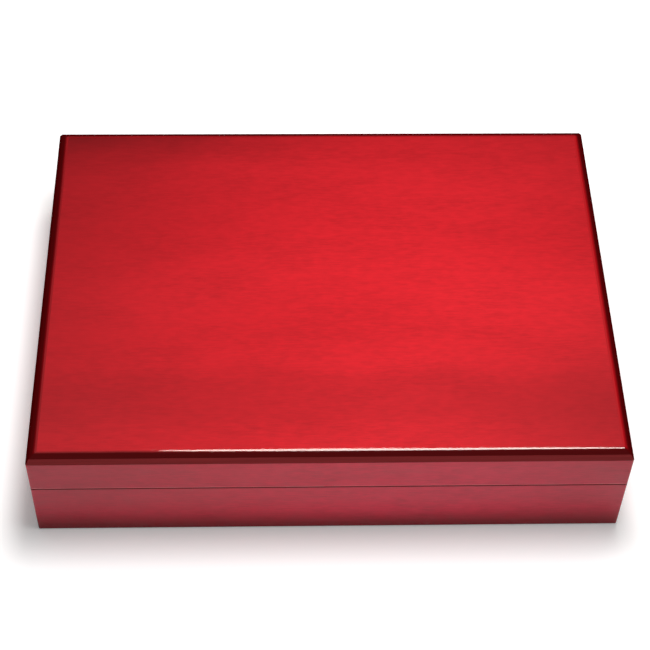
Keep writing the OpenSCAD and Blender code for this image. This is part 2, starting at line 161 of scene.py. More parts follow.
class Graph:
    """Adds nodes to one node tree and links them."""

    def __init__(self, tree: Tree) -> None:
        """Takes the tree to work on."""
        self.tree = tree

    def add(self, kind: str, feeds: Feeds | None = None, **settings: object) -> bpy.types.Node:
        """Adds a node.

        Args:
            kind: Type of the node.
            feeds: What its inputs get, by name or number: a value or another node's output.
            settings: Properties of the node.

        Returns:
            The node.
        """
        node = self.tree.nodes.new(kind)
        for name, value in settings.items():
            setattr(node, name, value)
        for key, value in (feeds or {}).items():
            if isinstance(value, Socket):
                self.tree.links.new(value, node.inputs[key])
            else:
                node.inputs[key].default_value = value
        return node

    def math(self, operation: str, first: Feed, second: Feed = 0.0) -> Socket:
        """Adds a sum on one or two numbers."""
        return self.add("ShaderNodeMath", {0: first, 1: second}, operation=operation).outputs[0]

    def plus(self, first: Feed, second: Feed) -> Socket:
        """Adds up two numbers."""
        return self.math("ADD", first, second)

    def times(self, first: Feed, second: Feed) -> Socket:
        """Multiplies two numbers."""
        return self.math("MULTIPLY", first, second)

    def vector(self, operation: str, first: Feed, second: Feed = NOWHERE) -> Socket:
        """Adds a sum on one or two vectors."""
        feeds = {0: first, 1: second}
        return self.add("ShaderNodeVectorMath", feeds, operation=operation).outputs[0]

    def length(self, vector: Feed) -> Socket:
        """Measures a vector."""
        return self.add("ShaderNodeVectorMath", {0: vector}, operation="LENGTH").outputs["Value"]

    def parts(self, vector: Feed) -> bpy.types.NodeOutputs:
        """Takes a vector apart into x, y and z."""
        return self.add("ShaderNodeSeparateXYZ", {0: vector}).outputs

    def span(
        self, value: Feed, low: Feed, high: Feed, start: Feed = 0.0, end: Feed = 1.0,
    ) -> Socket:
        """Maps a value smoothly from low and high to start and end, and holds it there."""
        feeds = {0: value, 1: low, 2: high, 3: start, 4: end}
        return self.add("ShaderNodeMapRange", feeds, interpolation_type="SMOOTHSTEP").outputs[0]

    def mix(self, share: Feed, first: Feed, second: Feed) -> Socket:
        """Mixes two colours by the share of the second."""
        feeds = {0: share, 6: first, 7: second}
        return self.add("ShaderNodeMix", feeds, data_type="RGBA").outputs[2]

    def noise(self, place: Feed, scale: Feed, detail: float = 2.0, rough: float = 0.5) -> Socket:
        """Adds a soft noise around a half, with so many waves in a metre."""
        feeds = {"Vector": place, "Scale": scale, "Detail": detail, "Roughness": rough}
        return self.add("ShaderNodeTexNoise", feeds).outputs[0]

    def drawn_out(self, place: Feed, share: float) -> Socket:
        """Shrinks a place along x, so that what is read there is drawn out along x."""
        return self.vector("MULTIPLY", place, (share, 1.0, 1.0))

    def use(self, group: Tree, feeds: Feeds) -> bpy.types.NodeOutputs:
        """Places a shared group and gives its outputs."""
        return self.add("ShaderNodeGroup", feeds, node_tree=group).outputs


class GroupGraph(Graph):
    """The graph inside a shared shader group."""

    def __init__(self, name: str, inputs: dict[str, Feed], outputs: tuple[str, ...]) -> None:
        """Makes an empty group.

        Args:
            name: Name of the group.
            inputs: Its inputs with their usual values; a triple makes a vector input.
            outputs: Names of its outputs, all of them numbers.
        """
        super().__init__(bpy.data.node_groups.new(name, "ShaderNodeTree"))
        sockets = self.tree.interface
        for label, usual in inputs.items():
            kind = "NodeSocketVector" if isinstance(usual, tuple) else "NodeSocketFloat"
            sockets.new_socket(label, in_out="INPUT", socket_type=kind).default_value = usual
        for label in outputs:
            sockets.new_socket(label, in_out="OUTPUT", socket_type="NodeSocketFloat")
        self.given = self.add("NodeGroupInput").outputs

    def close(self, results: Feeds) -> Tree:
        """Links the results to the group's outputs and returns the group."""
        self.add("NodeGroupOutput", results)
        return self.tree


class MaterialGraph(Graph):
    """The graph of a material around one Principled shader."""

    def __init__(self, name: str) -> None:
        """Makes a material and empties its graph.

        Args:
            name: Name of the material.
        """
        self.material = bpy.data.materials.new(name)
        self.material.use_nodes = True
        super().__init__(self.material.node_tree)
        self.tree.nodes.clear()
        self.place = self.add("ShaderNodeTexCoord").outputs["Object"]

    def along(self, grain: Grain) -> Socket:
        """Gives the place on the piece, turned so that its x runs along the grain.

        Args:
            grain: Direction of the grain.

        Returns:
            The place.
        """
        if grain is Grain.ACROSS:
            return self.place
        x, y, z = self.parts(self.place)
        return self.add("ShaderNodeCombineXYZ", {0: y, 1: x, 2: z}).outputs[0]

    def handled(self, place: Feed, marks: float, clean: float, marked: float) -> Socket:
        """Gives a roughness from clean to marked, with so many hand marks in a metre."""
        feeds = {"Vector": place, "Scale": marks, "Clean": clean, "Marked": marked}
        return self.use(hand_marks(), feeds)["Roughness"]

    def bump(self, height: Feed, depth: float, share: float) -> Socket:
        """Turns a height into a normal, by the relief's depth and the share that shows."""
        feeds = {"Height": height, "Distance": depth, "Strength": share}
        return self.add("ShaderNodeBump", feeds).outputs[0]

    def surface(self, feeds: Feeds) -> Material:
        """Closes the graph with a Principled shader.

        Args:
            feeds: What the inputs of the shader get.

        Returns:
            The material.
        """
        shader = self.add("ShaderNodeBsdfPrincipled", feeds)
        self.add("ShaderNodeOutputMaterial", {0: shader.outputs[0]})
        return self.material


@functools.cache
def wood_figure() -> Tree:
    """Makes the group that draws the figure of wood along x.

    Returns:
        The group, which gives each kind of mark from 0 to 1.
    """
    usual = {"Vector": NOWHERE, "Streaks": 900.0, "Clouds": 14.0, "Rings": 120.0, "Pores": 2400.0}
    group = GroupGraph("wood figure", usual, ("Streak", "Cloud", "Ring", "Pore"))
    place, given = group.given["Vector"], group.given
    streak = group.noise(group.drawn_out(place, 0.014), given["Streaks"], detail=4.0, rough=0.62)
    cloud = group.noise(group.drawn_out(place, 0.42), given["Clouds"], detail=3.0, rough=0.45)
    pore = group.noise(group.drawn_out(place, 0.035), given["Pores"], detail=1.0)
    sway = group.noise(group.drawn_out(place, 0.12), 26.0, detail=1.0, rough=0.4)
    _, y, z = group.parts(place)
    turns = group.plus(group.times(group.plus(y, z), given["Rings"]), group.times(sway, 7.0))
    ring = group.math("FRACT", turns)
    return group.close({
        "Streak": group.span(streak, 0.3, 0.72),
        "Cloud": group.span(cloud, 0.28, 0.72),
        "Ring": group.times(group.span(ring, 0.1, 0.92), group.span(ring, 1.0, 0.95)),
        "Pore": group.span(pore, 0.6, 0.72),
    })


@functools.cache
def hand_marks() -> Tree:
    """Makes the group that varies roughness with faint marks of wiping and handling.

    Returns:
        The group.
    """
    usual = {"Vector": NOWHERE, "Scale": 35.0, "Clean": 0.05, "Marked": 0.1}
    group = GroupGraph("hand marks", usual, ("Roughness",))
    place, scale, clean, marked = (group.given[label] for label in usual)
    patch = group.noise(place, scale, detail=4.0, rough=0.6)
    wipe = group.noise(group.drawn_out(place, 0.08), group.times(scale, 14.0))
    marks = group.plus(group.times(patch, 0.75), group.times(wipe, 0.25))
    return group.close({"Roughness": group.span(marks, 0.36, 0.68, clean, marked)})


@functools.cache
def burst() -> Tree:
    """Makes the group that fades a finish from a middle to its edges, as sprayed toner does; on the
    top it also paints shade.

    Returns:
        The group.
    """
    usual = {"Vector": NOWHERE, "Centre": NOWHERE, "Reach": (0.1, 0.1, 0.1)}
    group = GroupGraph("burst", usual, ("Shade",))
    place, centre, reach = (group.given[label] for label in usual)
    away = group.vector("DIVIDE", group.vector("SUBTRACT", place, centre), reach)
    return group.close({"Shade": group.span(group.length(away), 0.1, 1.0)})


@functools.cache
def rim_distance() -> Tree:
    """Makes the group that gives the distance in from the nearest side of a rectangle.

    Returns:
        The group.
    """
    group = GroupGraph("rim distance", {"Vector": NOWHERE, "Half": (0.1, 0.1, 0.0)}, ("Inward",))
    folded = group.vector("ABSOLUTE", group.given["Vector"])
    x, y, _ = group.parts(group.vector("SUBTRACT", group.given["Half"], folded))
    return group.close({"Inward": group.math("MINIMUM", x, y)})


@functools.cache
def speckle() -> Tree:
    """Makes the group for the fine relief and flecks of paint, plastic, fibre and foam.

    Returns:
        The group.
    """
    usual = {"Vector": NOWHERE, "Scale": 2000.0, "Threshold": 0.55}
    group = GroupGraph("speckle", usual, ("Height", "Fleck"))
    place, scale, threshold = (group.given[label] for label in usual)
    fine = group.noise(place, scale, detail=3.0, rough=0.6)
    feeds = {"Vector": place, "Scale": scale}
    cells = group.add("ShaderNodeTexVoronoi", feeds).outputs["Distance"]
    fleck = group.noise(place, group.times(scale, 0.35), rough=0.6)
    return group.close({
        "Height": group.plus(group.times(fine, 0.6), group.times(cells, 0.5)),
        "Fleck": group.span(fleck, threshold, group.plus(threshold, 0.16)),
    })


# Finishes


@dataclass(frozen=True)
class Finish:
    """Look of a surface.

    Attributes:
        name: Name of its material.
    """

    name: str

    def drawn(self, graph: MaterialGraph) -> Material:
        """Draws the look in the graph of its material."""
        raise NotImplementedError

    @functools.cache
    def material(self) -> Material:
        """Gives the material, made on first use."""
        return self.drawn(MaterialGraph(self.name))


@dataclass(frozen=True)
class Lacquer:
    """Clear gloss lacquer over wood.

    Attributes:
        marks: Hand marks in a metre.
        clean: Roughness where it is clean.
        marked: Roughness where it was handled.
        drawn: Share of a metre that its swell shrinks to along the grain.
        waves: Waves of the swell in a metre.
        depth: Depth of the swell.
        level: Strength of its reflection.
        share: Share of the swell that shows.
    """

    marks: float
    clean: float
    marked: float
    drawn: float
    waves: float
    depth: float
    level: float
    share: float = 0.5

    def over(self, graph: MaterialGraph, place: Socket, colour: Socket) -> Material:
        """Closes a material with the lacquer on top.

        Args:
            graph: Graph of the material.
            place: Where it is read, with x along the grain.
            colour: Colour under it.

        Returns:
            The material.
        """
        swell = graph.noise(graph.drawn_out(place, self.drawn), self.waves, rough=0.4)
        return graph.surface({
            "Base Color": colour,
            "Roughness": graph.handled(place, self.marks, self.clean, self.marked),
            "IOR": LACQUER_IOR,
            "Specular IOR Level": self.level,
            "Normal": graph.bump(swell, self.depth, self.share),
        })


VENEER_LACQUER = Lacquer(
    marks=30.0, clean=0.035, marked=0.075, drawn=0.4, waves=110.0, depth=0.02 * MM, level=0.4,
)
EDGING_LACQUER = Lacquer(
    marks=60.0, clean=0.03, marked=0.07, drawn=0.5, waves=150.0, depth=0.015 * MM, level=0.35,
)


@dataclass(frozen=True)
class RimTone:
    """Dark toner sprayed around the rim of the lid.

    Attributes:
        half: Half the width and depth of the box.
        covered: How far in it covers fully at the front and back.
        ends: How far in it ends at the front and back.
        narrower: How much less far it reaches at the sides.
        drift: How much further in it reaches at the left and less far at the right.
        wander: How far its border wanders.
        colour: Its colour.
    """

    half: Flat
    covered: float = 4.1 * MM
    ends: float = 6.3 * MM
    narrower: float = 1.15 * MM
    drift: float = 0.35 * MM
    wander: float = 0.3 * MM
    colour: Colour = srgb(80, 3, 5)

    def laid(self, graph: MaterialGraph, colour: Feed, wander: Feed) -> Socket:
        """Lays the toner over a colour.

        Args:
            graph: Graph of the material.
            colour: Colour under it.
            wander: Share of the wandering, from 0 to 1.

        Returns:
            The toned colour.
        """
        half = (self.half[0] + self.narrower, self.half[1], 0.0)
        place = graph.vector("SUBTRACT", graph.place, (self.drift, 0.0, 0.0))
        inward = graph.use(rim_distance(), {"Vector": place, "Half": half})["Inward"]
        border = graph.plus(inward, graph.times(wander, self.wander))
        return graph.mix(graph.span(border, self.ends, self.covered), colour, self.colour)


@dataclass(frozen=True)
class Stained(Finish):
    """Stained wood under lacquer.

    Attributes:
        grain: Direction of the grain.
    """

    grain: Grain

    @property
    def lacquer(self) -> Lacquer:
        """The lacquer on top."""
        return VENEER_LACQUER

    def stain(self, graph: MaterialGraph, place: Socket) -> Socket:
        """Gives the colour of the wood at a place with x along the grain."""
        raise NotImplementedError

    def drawn(self, graph: MaterialGraph) -> Material:
        """Draws the look in the graph of its material."""
        place = graph.along(self.grain)
        return self.lacquer.over(graph, place, self.stain(graph, place))


@dataclass(frozen=True)
class Veneer(Stained):
    """Red-stained veneer.

    Attributes:
        centre: Middle of the lighter field that the toner leaves; on the top the darkening around
            it is partly painted shade.
        reach: How far the lighter field reaches.
        light: Colour of the light figure.
        dark: Colour of the dark figure.
        toned: Most that the toner covers; on the top it is partly painted shade where the lamps'
            light falls off.
        toner: Colour that the toner lays over the edges, also used for painted shade on the top, at
            the foot and in the seam.
        dashes: Dashes of grain in a metre.
        flecks: Flecks in a metre.
        mottles: Mottled spots in a metre.
        fields: Broad light and dark fields in a metre.
    """

    centre: Point
    reach: Point
    light: Colour
    dark: Colour
    toned: float
    toner: Colour = srgb(120, 8, 15)
    dashes: float = 1400.0
    flecks: float = 330.0
    mottles: float = 70.0
    fields: float = 9.0

    def figured(self, graph: MaterialGraph, place: Socket) -> Socket:
        """Draws the stained figure of the wood.

        Args:
            graph: Graph of the material.
            place: Where it is read, with x along the grain.

        Returns:
            The colour.
        """
        feeds = {"Vector": graph.drawn_out(place, 8.0), "Streaks": self.dashes}
        dash = graph.use(wood_figure(), feeds)["Streak"]
        broad_place = graph.drawn_out(place, 0.5)
        fleck = graph.noise(broad_place, self.flecks, detail=1.0)
        broad = graph.noise(broad_place, self.fields, detail=1.0)
        mottle = graph.noise(graph.drawn_out(place, 0.35), self.mottles)
        colour = graph.mix(graph.span(broad, 0.3, 0.7), self.dark, self.light)
        colour = graph.mix(graph.span(mottle, 0.4, 0.75, 0.0, 0.06), colour, self.toner)
        grain = graph.times(dash, graph.span(mottle, 0.3, 0.65, 0.12, 0.22))
        grain = graph.plus(grain, graph.span(fleck, 0.3, 0.75, 0.0, 0.09))
        return graph.mix(grain, colour, self.toner)

    def faded(self, graph: MaterialGraph, colour: Feed) -> Socket:
        """Lays the toner over a colour, away from the lighter field; on the top this is partly
        painted shade.

        Args:
            graph: Graph of the material.
            colour: Colour under it.

        Returns:
            The toned colour.
        """
        feeds = {"Vector": graph.place, "Centre": self.centre, "Reach": self.reach}
        shade = graph.use(burst(), feeds)["Shade"]
        return graph.mix(graph.times(shade, self.toned), colour, self.toner)


@dataclass(frozen=True)
class Cloud:
    """A soft field of darker stain; the top's back-left cloud is partly painted shade.

    Attributes:
        centre: Its middle.
        reach: How far it reaches.
        share: How much it covers in the middle.
    """

    centre: Point
    reach: Point
    share: float

    def laid(self, graph: MaterialGraph, place: Feed, colour: Feed, stain: Colour) -> Socket:
        """Lays the stain over a colour.

        Args:
            graph: Graph of the material.
            place: Where the cloud is read.
            colour: Colour under it.
            stain: Colour of the stain.

        Returns:
            The stained colour.
        """
        feeds = {"Vector": place, "Centre": self.centre, "Reach": self.reach}
        away = graph.use(burst(), feeds)["Shade"]
        return graph.mix(graph.span(away, 1.0, 0.0, 0.0, self.share), colour, stain)


@dataclass(frozen=True, kw_only=True)
class TopVeneer(Veneer):
    """Veneer of the top panel, with clouds of darker stain, painted shade where the lamps' light
    falls off, and the dark toner of the rim.

    Attributes:
        rim: Toner of the rim.
        clouds: The clouds.
        bend: How far the clouds are bent out of shape.
        bends: Bends in a metre.
    """

    rim: RimTone
    clouds: tuple[Cloud, ...]
    bend: float = 9 * MM
    bends: float = 45.0

    def stain(self, graph: MaterialGraph, place: Socket) -> Socket:
        """Lays the clouds, the burst of toner and painted shade, and the rim's toner over the
        figure.

        Args:
            graph: Graph of the material.
            place: Where it is read, with x along the grain.

        Returns:
            The colour.
        """
        colour = self.figured(graph, place)
        wave = graph.noise(graph.drawn_out(place, 0.5), self.bends, detail=3.0, rough=0.6)
        shift = graph.span(wave, 0.0, 1.0, -self.bend, self.bend)
        shift = graph.add("ShaderNodeCombineXYZ", {1: shift}).outputs[0]
        bent = graph.vector("ADD", place, shift)
        for cloud in self.clouds:
            colour = cloud.laid(graph, bent, colour, self.toner)
        return self.rim.laid(graph, self.faded(graph, colour), wave)


@dataclass(frozen=True, kw_only=True)
class SideVeneer(Veneer):
    """Veneer of the walls and rails, with painted shade at the foot and below the seam and a
    painted highlight on the lid's edge.

    Attributes:
        seam: Height of the seam.
        foot: Heights where the painted shade of the foot ends and where it is full.
        foot_shade: Most that the painted shade of the foot covers.
        painted_highlight: Colour of the painted highlight on the lid's edge along the seam.
        edge: Height of that edge above the seam.
        edge_half: How far from its middle the edge ends and is full.
        highlight_strength: Least and most strength of the painted highlight.
        highlight_spots: Spots in a metre by which the painted highlight varies.
        line: Depth of the dark line of painted shade below the seam.
        seam_shade_half: How far from its middle the painted shade line ends and is full.
        seam_shade: Most that the painted shade covers the line.
    """

    seam: float
    foot: Flat = (18 * MM, 1 * MM)
    foot_shade: float = 0.8
    painted_highlight: Colour = srgb(236, 112, 122)
    edge: float = 0.6 * MM
    edge_half: Flat = (0.55 * MM, 0.2 * MM)
    highlight_strength: Flat = (0.25, 0.7)
    highlight_spots: float = 300.0
    line: float = 0.2 * MM
    seam_shade_half: Flat = (0.6 * MM, 0.3 * MM)
    seam_shade: float = 0.7

    def stain(self, graph: MaterialGraph, place: Socket) -> Socket:
        """Lays the toner, the painted shade of the foot and the seam, and the painted highlight of
        the lid's edge over the figure.

        Args:
            graph: Graph of the material.
            place: Where it is read, with x along the grain.

        Returns:
            The colour.
        """
        height = graph.parts(graph.place)[2]
        colour = self.faded(graph, self.figured(graph, place))
        # Painted shade where the box meets the floor, darker towards the foot.
        foot = graph.span(height, *self.foot, 0.0, self.foot_shade)
        colour = graph.mix(foot, colour, self.toner)
        # Painted highlight on the lid's lower edge, broken up in spots.
        highlight_strength = graph.noise(graph.drawn_out(place, 0.15), self.highlight_spots)
        highlight_strength = graph.span(highlight_strength, 0.3, 0.65, *self.highlight_strength)
        above = graph.math("SUBTRACT", height, self.seam)
        edge = graph.math("ABSOLUTE", graph.math("SUBTRACT", above, self.edge))
        edge = graph.times(graph.span(edge, *self.edge_half), highlight_strength)
        # Painted shade in the seam below the lid's edge.
        line = graph.math("ABSOLUTE", graph.plus(above, self.line))
        line = graph.span(line, *self.seam_shade_half, 0.0, self.seam_shade)
        return graph.mix(line, graph.mix(edge, colour, self.painted_highlight), self.toner)


@dataclass(frozen=True)
class DarkEdging(Stained):
    """Hardwood edging toned from red at its top to near black on the bevel.

    Attributes:
        rim: Toner of the rim.
        inner: Colour along the top panel; set per side, darker at the left as painted shade and
            lighter at the right as painted light.
        gloss: Reflection of the lacquer.
        streaks: Streaks of the grain in a metre.
        clouds: Clouds in a metre, by which the toner wanders.
    """

    rim: RimTone
    inner: Colour
    gloss: float = 0.35
    streaks: float = 1600.0
    clouds: float = 60.0

    @property
    def lacquer(self) -> Lacquer:
        """The lacquer on top."""
        return replace(EDGING_LACQUER, level=self.gloss)

    def stain(self, graph: MaterialGraph, place: Socket) -> Socket:
        """Draws the streaked wood and its toner.

        Args:
            graph: Graph of the material.
            place: Where it is read, with x along the grain.

        Returns:
            The colour.
        """
        feeds = {"Vector": place, "Streaks": self.streaks, "Clouds": self.clouds}
        figure = graph.use(wood_figure(), feeds)
        colour = graph.mix(graph.times(figure["Streak"], 0.15), self.inner, self.rim.colour)
        return self.rim.laid(graph, colour, figure["Cloud"])


@dataclass(frozen=True)
class EdgingFoot(DarkEdging):
    """Finish of the lower slope of the edging, streaked along the grain; at the front its colour
    also holds a painted reflection of the floor.
    """

    def stain(self, graph: MaterialGraph, place: Socket) -> Socket:
        """Draws the streaked wood at a place with x along the grain."""
        streak = graph.use(wood_figure(), {"Vector": place, "Streaks": self.streaks})["Streak"]
        return graph.mix(graph.times(streak, 0.3), self.inner, self.rim.colour)


@dataclass(frozen=True)
class Cedar(Finish):
    """Bare sanded cedar.

    Attributes:
        grain: Direction of the grain.
        pale: Colour of the early wood.
        ringed: Colour of the late wood.
        pores: Colour of the open pores.
    """

    grain: Grain
    pale: Colour = srgb(205, 150, 108)
    ringed: Colour = srgb(170, 106, 70)
    pores: Colour = srgb(112, 64, 42)

    def drawn(self, graph: MaterialGraph) -> Material:
        """Draws the look in the graph of its material.

        Args:
            graph: The graph.

        Returns:
            The material.
        """
        place = graph.along(self.grain)
        feeds = {"Streaks": 1000.0, "Clouds": 16.0, "Rings": 75.0, "Pores": 2000.0}
        figure = graph.use(wood_figure(), {"Vector": place, **feeds})
        colour = self.pale
        for mark, share in {"Ring": 0.7, "Streak": 0.35, "Cloud": 0.3, "Pore": 0.6}.items():
            stain = self.pores if mark == "Pore" else self.ringed
            colour = graph.mix(graph.times(figure[mark], share), colour, stain)
        relief = graph.math("SUBTRACT", graph.times(figure["Streak"], 0.25), figure["Pore"])
        return graph.surface({
            "Base Color": colour,
            "Roughness": graph.handled(place, marks=45.0, clean=0.5, marked=0.68),
            "Normal": graph.bump(relief, depth=0.06 * MM, share=0.6),
        })


@dataclass(frozen=True)
class Speckled(Finish):
    """Fibre, foam, plastic, paint or ink with a fine grain.

    Attributes:
        body: Main colour.
        fleck: Colour of its flecks or pores.
        scale: Grains in a metre.
        depth: Depth of the grain.
        clean: Roughness where it is clean.
        marked: Roughness where it was handled.
        marks: Hand marks in a metre.
        threshold: Noise from which a fleck begins.
        share: Most that a fleck covers.
        relief: Share of the grain's relief that shows.
        sheen: Weight of the fuzz that catches the light.
    """

    body: Colour
    fleck: Colour
    scale: float
    depth: float
    clean: float
    marked: float
    marks: float = 70.0
    threshold: float = 0.52
    share: float = 0.5
    relief: float = 0.5
    sheen: float = 0.0

    def drawn(self, graph: MaterialGraph) -> Material:
        """Draws the look in the graph of its material.

        Args:
            graph: The graph.

        Returns:
            The material.
        """
        feeds = {"Vector": graph.place, "Scale": self.scale, "Threshold": self.threshold}
        grain = graph.use(speckle(), feeds)
        return graph.surface({
            "Base Color": graph.mix(graph.times(grain["Fleck"], self.share), self.body, self.fleck),
            "Roughness": graph.handled(graph.place, self.marks, self.clean, self.marked),
            "Sheen Weight": self.sheen,
            "Sheen Roughness": FUZZ_ROUGHNESS,
            "Normal": graph.bump(grain["Height"], self.depth, self.relief),
        })


@dataclass(frozen=True)
class Metal(Finish):
    """Bare metal with fine lines of polishing and faint tarnish.

    Attributes:
        bright: Colour where it is polished.
        dull: Colour of the tarnish.
        clean: Roughness where it is clean.
        marked: Roughness where it was handled.
        marks: Hand marks in a metre.
        lines: Lines of polishing in a metre.
    """

    bright: Colour
    dull: Colour
    clean: float
    marked: float
    marks: float = 90.0
    lines: float = 5200.0

    def drawn(self, graph: MaterialGraph) -> Material:
        """Draws the look in the graph of its material.

        Args:
            graph: The graph.

        Returns:
            The material.
        """
        tarnish = graph.span(graph.noise(graph.place, 120.0, detail=4.0, rough=0.6), 0.48, 0.72)
        lines = graph.noise(graph.drawn_out(graph.place, 0.02), self.lines)
        return graph.surface({
            "Base Color": graph.mix(tarnish, self.bright, self.dull),
            "Metallic": 1.0,
            "Roughness": graph.handled(graph.place, self.marks, self.clean, self.marked),
            "Normal": graph.bump(lines, depth=0.004 * MM, share=0.35),
        })


@dataclass(frozen=True)
class Glass(Finish):
    """Clear flat glass with faint marks of wiping."""

    def drawn(self, graph: MaterialGraph) -> Material:
        """Draws the look in the graph of its material.

        Args:
            graph: The graph.

        Returns:
            The material.
        """
        return graph.surface({
            "Base Color": WHITE,
            "Roughness": graph.handled(graph.place, marks=90.0, clean=0.0, marked=0.03),
            "IOR": GLASS_IOR,
            "Transmission Weight": 1.0,
        })


CEDAR = {grain: Cedar(f"cedar {grain.name.lower()}", grain) for grain in Grain}
BRASS = Metal("polished brass", srgb(232, 190, 104), srgb(184, 138, 66), clean=0.14, marked=0.3)
STEEL = Metal("plain steel", srgb(190, 192, 196), srgb(150, 150, 152), clean=0.28, marked=0.42)
BRONZE = Metal("sensor strip bronze", srgb(196, 136, 92), srgb(150, 96, 60), clean=0.3, marked=0.45)
PLASTIC = Speckled(
    "black plastic", srgb(30, 30, 31), srgb(42, 42, 43),
    scale=2600.0, depth=0.03 * MM, clean=0.36, marked=0.52,
)
DIAL_PAINT = Speckled(
    "dial paint", srgb(240, 234, 216), srgb(228, 220, 198),
    scale=5200.0, depth=0.005 * MM, clean=0.4, marked=0.5,
)
DIAL_INK = Speckled(
    "dial ink", srgb(24, 24, 26), srgb(44, 44, 46),
    scale=6000.0, depth=0.004 * MM, clean=0.45, marked=0.55,
)
POINTER_PAINT = Speckled(
    "pointer paint", srgb(26, 26, 30), srgb(44, 44, 48),
    scale=5200.0, depth=0.004 * MM, clean=0.25, marked=0.35,
)
FIBREBOARD = Speckled(
    "fibreboard", srgb(150, 118, 84), srgb(112, 84, 56),
    scale=1400.0, depth=0.05 * MM, clean=0.65, marked=0.8,
    marks=50.0, threshold=0.5, share=1.0,
)
FELT = Speckled(
    "pressed felt", srgb(34, 34, 36), srgb(16, 16, 17),
    scale=1500.0, depth=0.25 * MM, clean=0.85, marked=0.98,
    marks=60.0, threshold=0.46, share=1.0, relief=0.9, sheen=0.35,
)
FOAM = Speckled(
    "open-cell foam", srgb(98, 132, 84), srgb(38, 58, 34),
    scale=900.0, depth=0.5 * MM, clean=0.85, marked=0.98,
    marks=60.0, threshold=0.46, share=1.0, relief=0.9, sheen=0.1,
)
GLASS = Glass("dial glass")


# Mesh helpers


def mesh_from(build: Build, name: str, crease_deg: float = CREASE_DEG) -> Mesh:
    """Turns built geometry into a smooth mesh with its creases kept sharp.

    Args:
        build: The geometry, which is freed.
        name: Name of the mesh.
        crease_deg: Angle from which an edge is a crease.

    Returns:
        The mesh.
    """
    limit = math.radians(crease_deg)
    for face in build.faces:
        face.smooth = True
    for edge in build.edges:
        edge.smooth = len(edge.link_faces) == 2 and edge.calc_face_angle(0.0) < limit
    mesh = bpy.data.meshes.new(name)
    build.to_mesh(mesh)
    build.free()
    return mesh


def welded(build: Build) -> Build:
    """Joins points that meet and turns all faces outwards.

    Args:
        build: The geometry.

    Returns:
        The same geometry.
    """
    bmesh.ops.remove_doubles(build, verts=build.verts, dist=WELD)
    bmesh.ops.recalc_face_normals(build, faces=build.faces)
    return build


def into_scene(name: str, data: bpy.types.ID) -> Piece:
    """Puts a mesh, lamp or camera into the scene at the origin of the row frame.

    Args:
        name: Name of the object.
        data: The mesh, lamp or camera.

    Returns:
        The object.
    """
    piece = bpy.data.objects.new(name, data)
    bpy.context.scene.collection.objects.link(piece)
    return piece


def dress(piece: Piece, finish: Finish) -> Piece:
    """Gives a piece one finish in place of any it had.

    Args:
        piece: The piece.
        finish: Its finish.

    Returns:
        The piece.
    """
    if not piece.data.materials:
        piece.data.materials.append(finish.material())
    for slot in piece.material_slots:
        slot.link = "OBJECT"
        slot.material = finish.material()
    return piece


def dress_faces(piece: Piece, *finishes: Finish) -> None:
    """Gives a made piece one finish for each material number of its faces."""
    for finish in finishes:
        piece.data.materials.append(finish.material())


def dress_nodes(looks: dict[str, Finish], eased: float = 0.0) -> Iterator[Piece]:
    """Dresses CAD pieces where they are.

    Args:
        looks: Finish of each piece by the name of its node.
        eased: Width that their edges are rounded with.

    Yields:
        Each piece.
    """
    for name, finish in looks.items():
        piece = dress(frame["nodes"][name], finish)
        if eased:
            ease_edges(piece, eased)
        yield piece


def even_normals(piece: Piece) -> None:
    """Keeps broad faces flat beside small rounds."""
    weighted = piece.modifiers.new("even normals", "WEIGHTED_NORMAL")
    weighted.keep_sharp = True


def ease_edges(piece: Piece, width: float) -> None:
    """Rounds the sharp edges of a CAD piece as sanding or moulding does.

    Args:
        piece: The piece.
        width: Width of the rounding.
    """
    weld = piece.modifiers.new("weld", "WELD")
    weld.merge_threshold = EASE_WELD
    bevel = piece.modifiers.new("eased edges", "BEVEL")
    bevel.width = width
    bevel.segments = EASE_STEPS
    bevel.limit_method = "ANGLE"
    bevel.angle_limit = math.radians(EASE_DEG)
    even_normals(piece)


def prism(outline: list[Flat], start: float, end: float) -> Build:
    """Makes a prism along x.

    Args:
        outline: Corners of its section as y and z.
        start: Where it begins.
        end: Where it ends.

    Returns:
        The prism.
    """
    build = bmesh.new()
    first, last = ([build.verts.new((x, y, z)) for y, z in outline] for x in (start, end))
    build.faces.new(first)
    build.faces.new(last)
    for i in range(len(outline)):
        build.faces.new((first[i - 1], first[i], last[i], last[i - 1]))
    bmesh.ops.recalc_face_normals(build, faces=build.faces)
    return build


def circle(centre: Flat, radius: float, steps: int = 48) -> list[Flat]:
    """Gives the corners of a round outline with so many steps."""
    turns = (2 * math.pi * i / steps for i in range(steps))
    return [(centre[0] + radius * math.cos(t), centre[1] + radius * math.sin(t)) for t in turns]


def cut(piece: Piece, tools: list[Build]) -> None:
    """Cuts shapes out of a piece.

    Args:
        piece: The piece.
        tools: The shapes, which are freed.
    """
    helpers = [into_scene("cutter", mesh_from(tool, "cutter")) for tool in tools]
    for helper in helpers:
        boolean = piece.modifiers.new("cut", "BOOLEAN")
        boolean.operation = "DIFFERENCE"
        boolean.solver = "EXACT"
        boolean.object = helper
    evaluated = piece.evaluated_get(bpy.context.evaluated_depsgraph_get())
    result = bmesh.new()
    result.from_mesh(evaluated.to_mesh())
    evaluated.to_mesh_clear()
    piece.modifiers.clear()
    bmesh.ops.remove_doubles(result, verts=result.verts, dist=WELD)
    bmesh.ops.dissolve_degenerate(result, dist=WELD, edges=result.edges)
    old = piece.data
    piece.data = mesh_from(result, old.name)
    for mesh in (old, *(helper.data for helper in helpers)):
        bpy.data.meshes.remove(mesh)


# The case


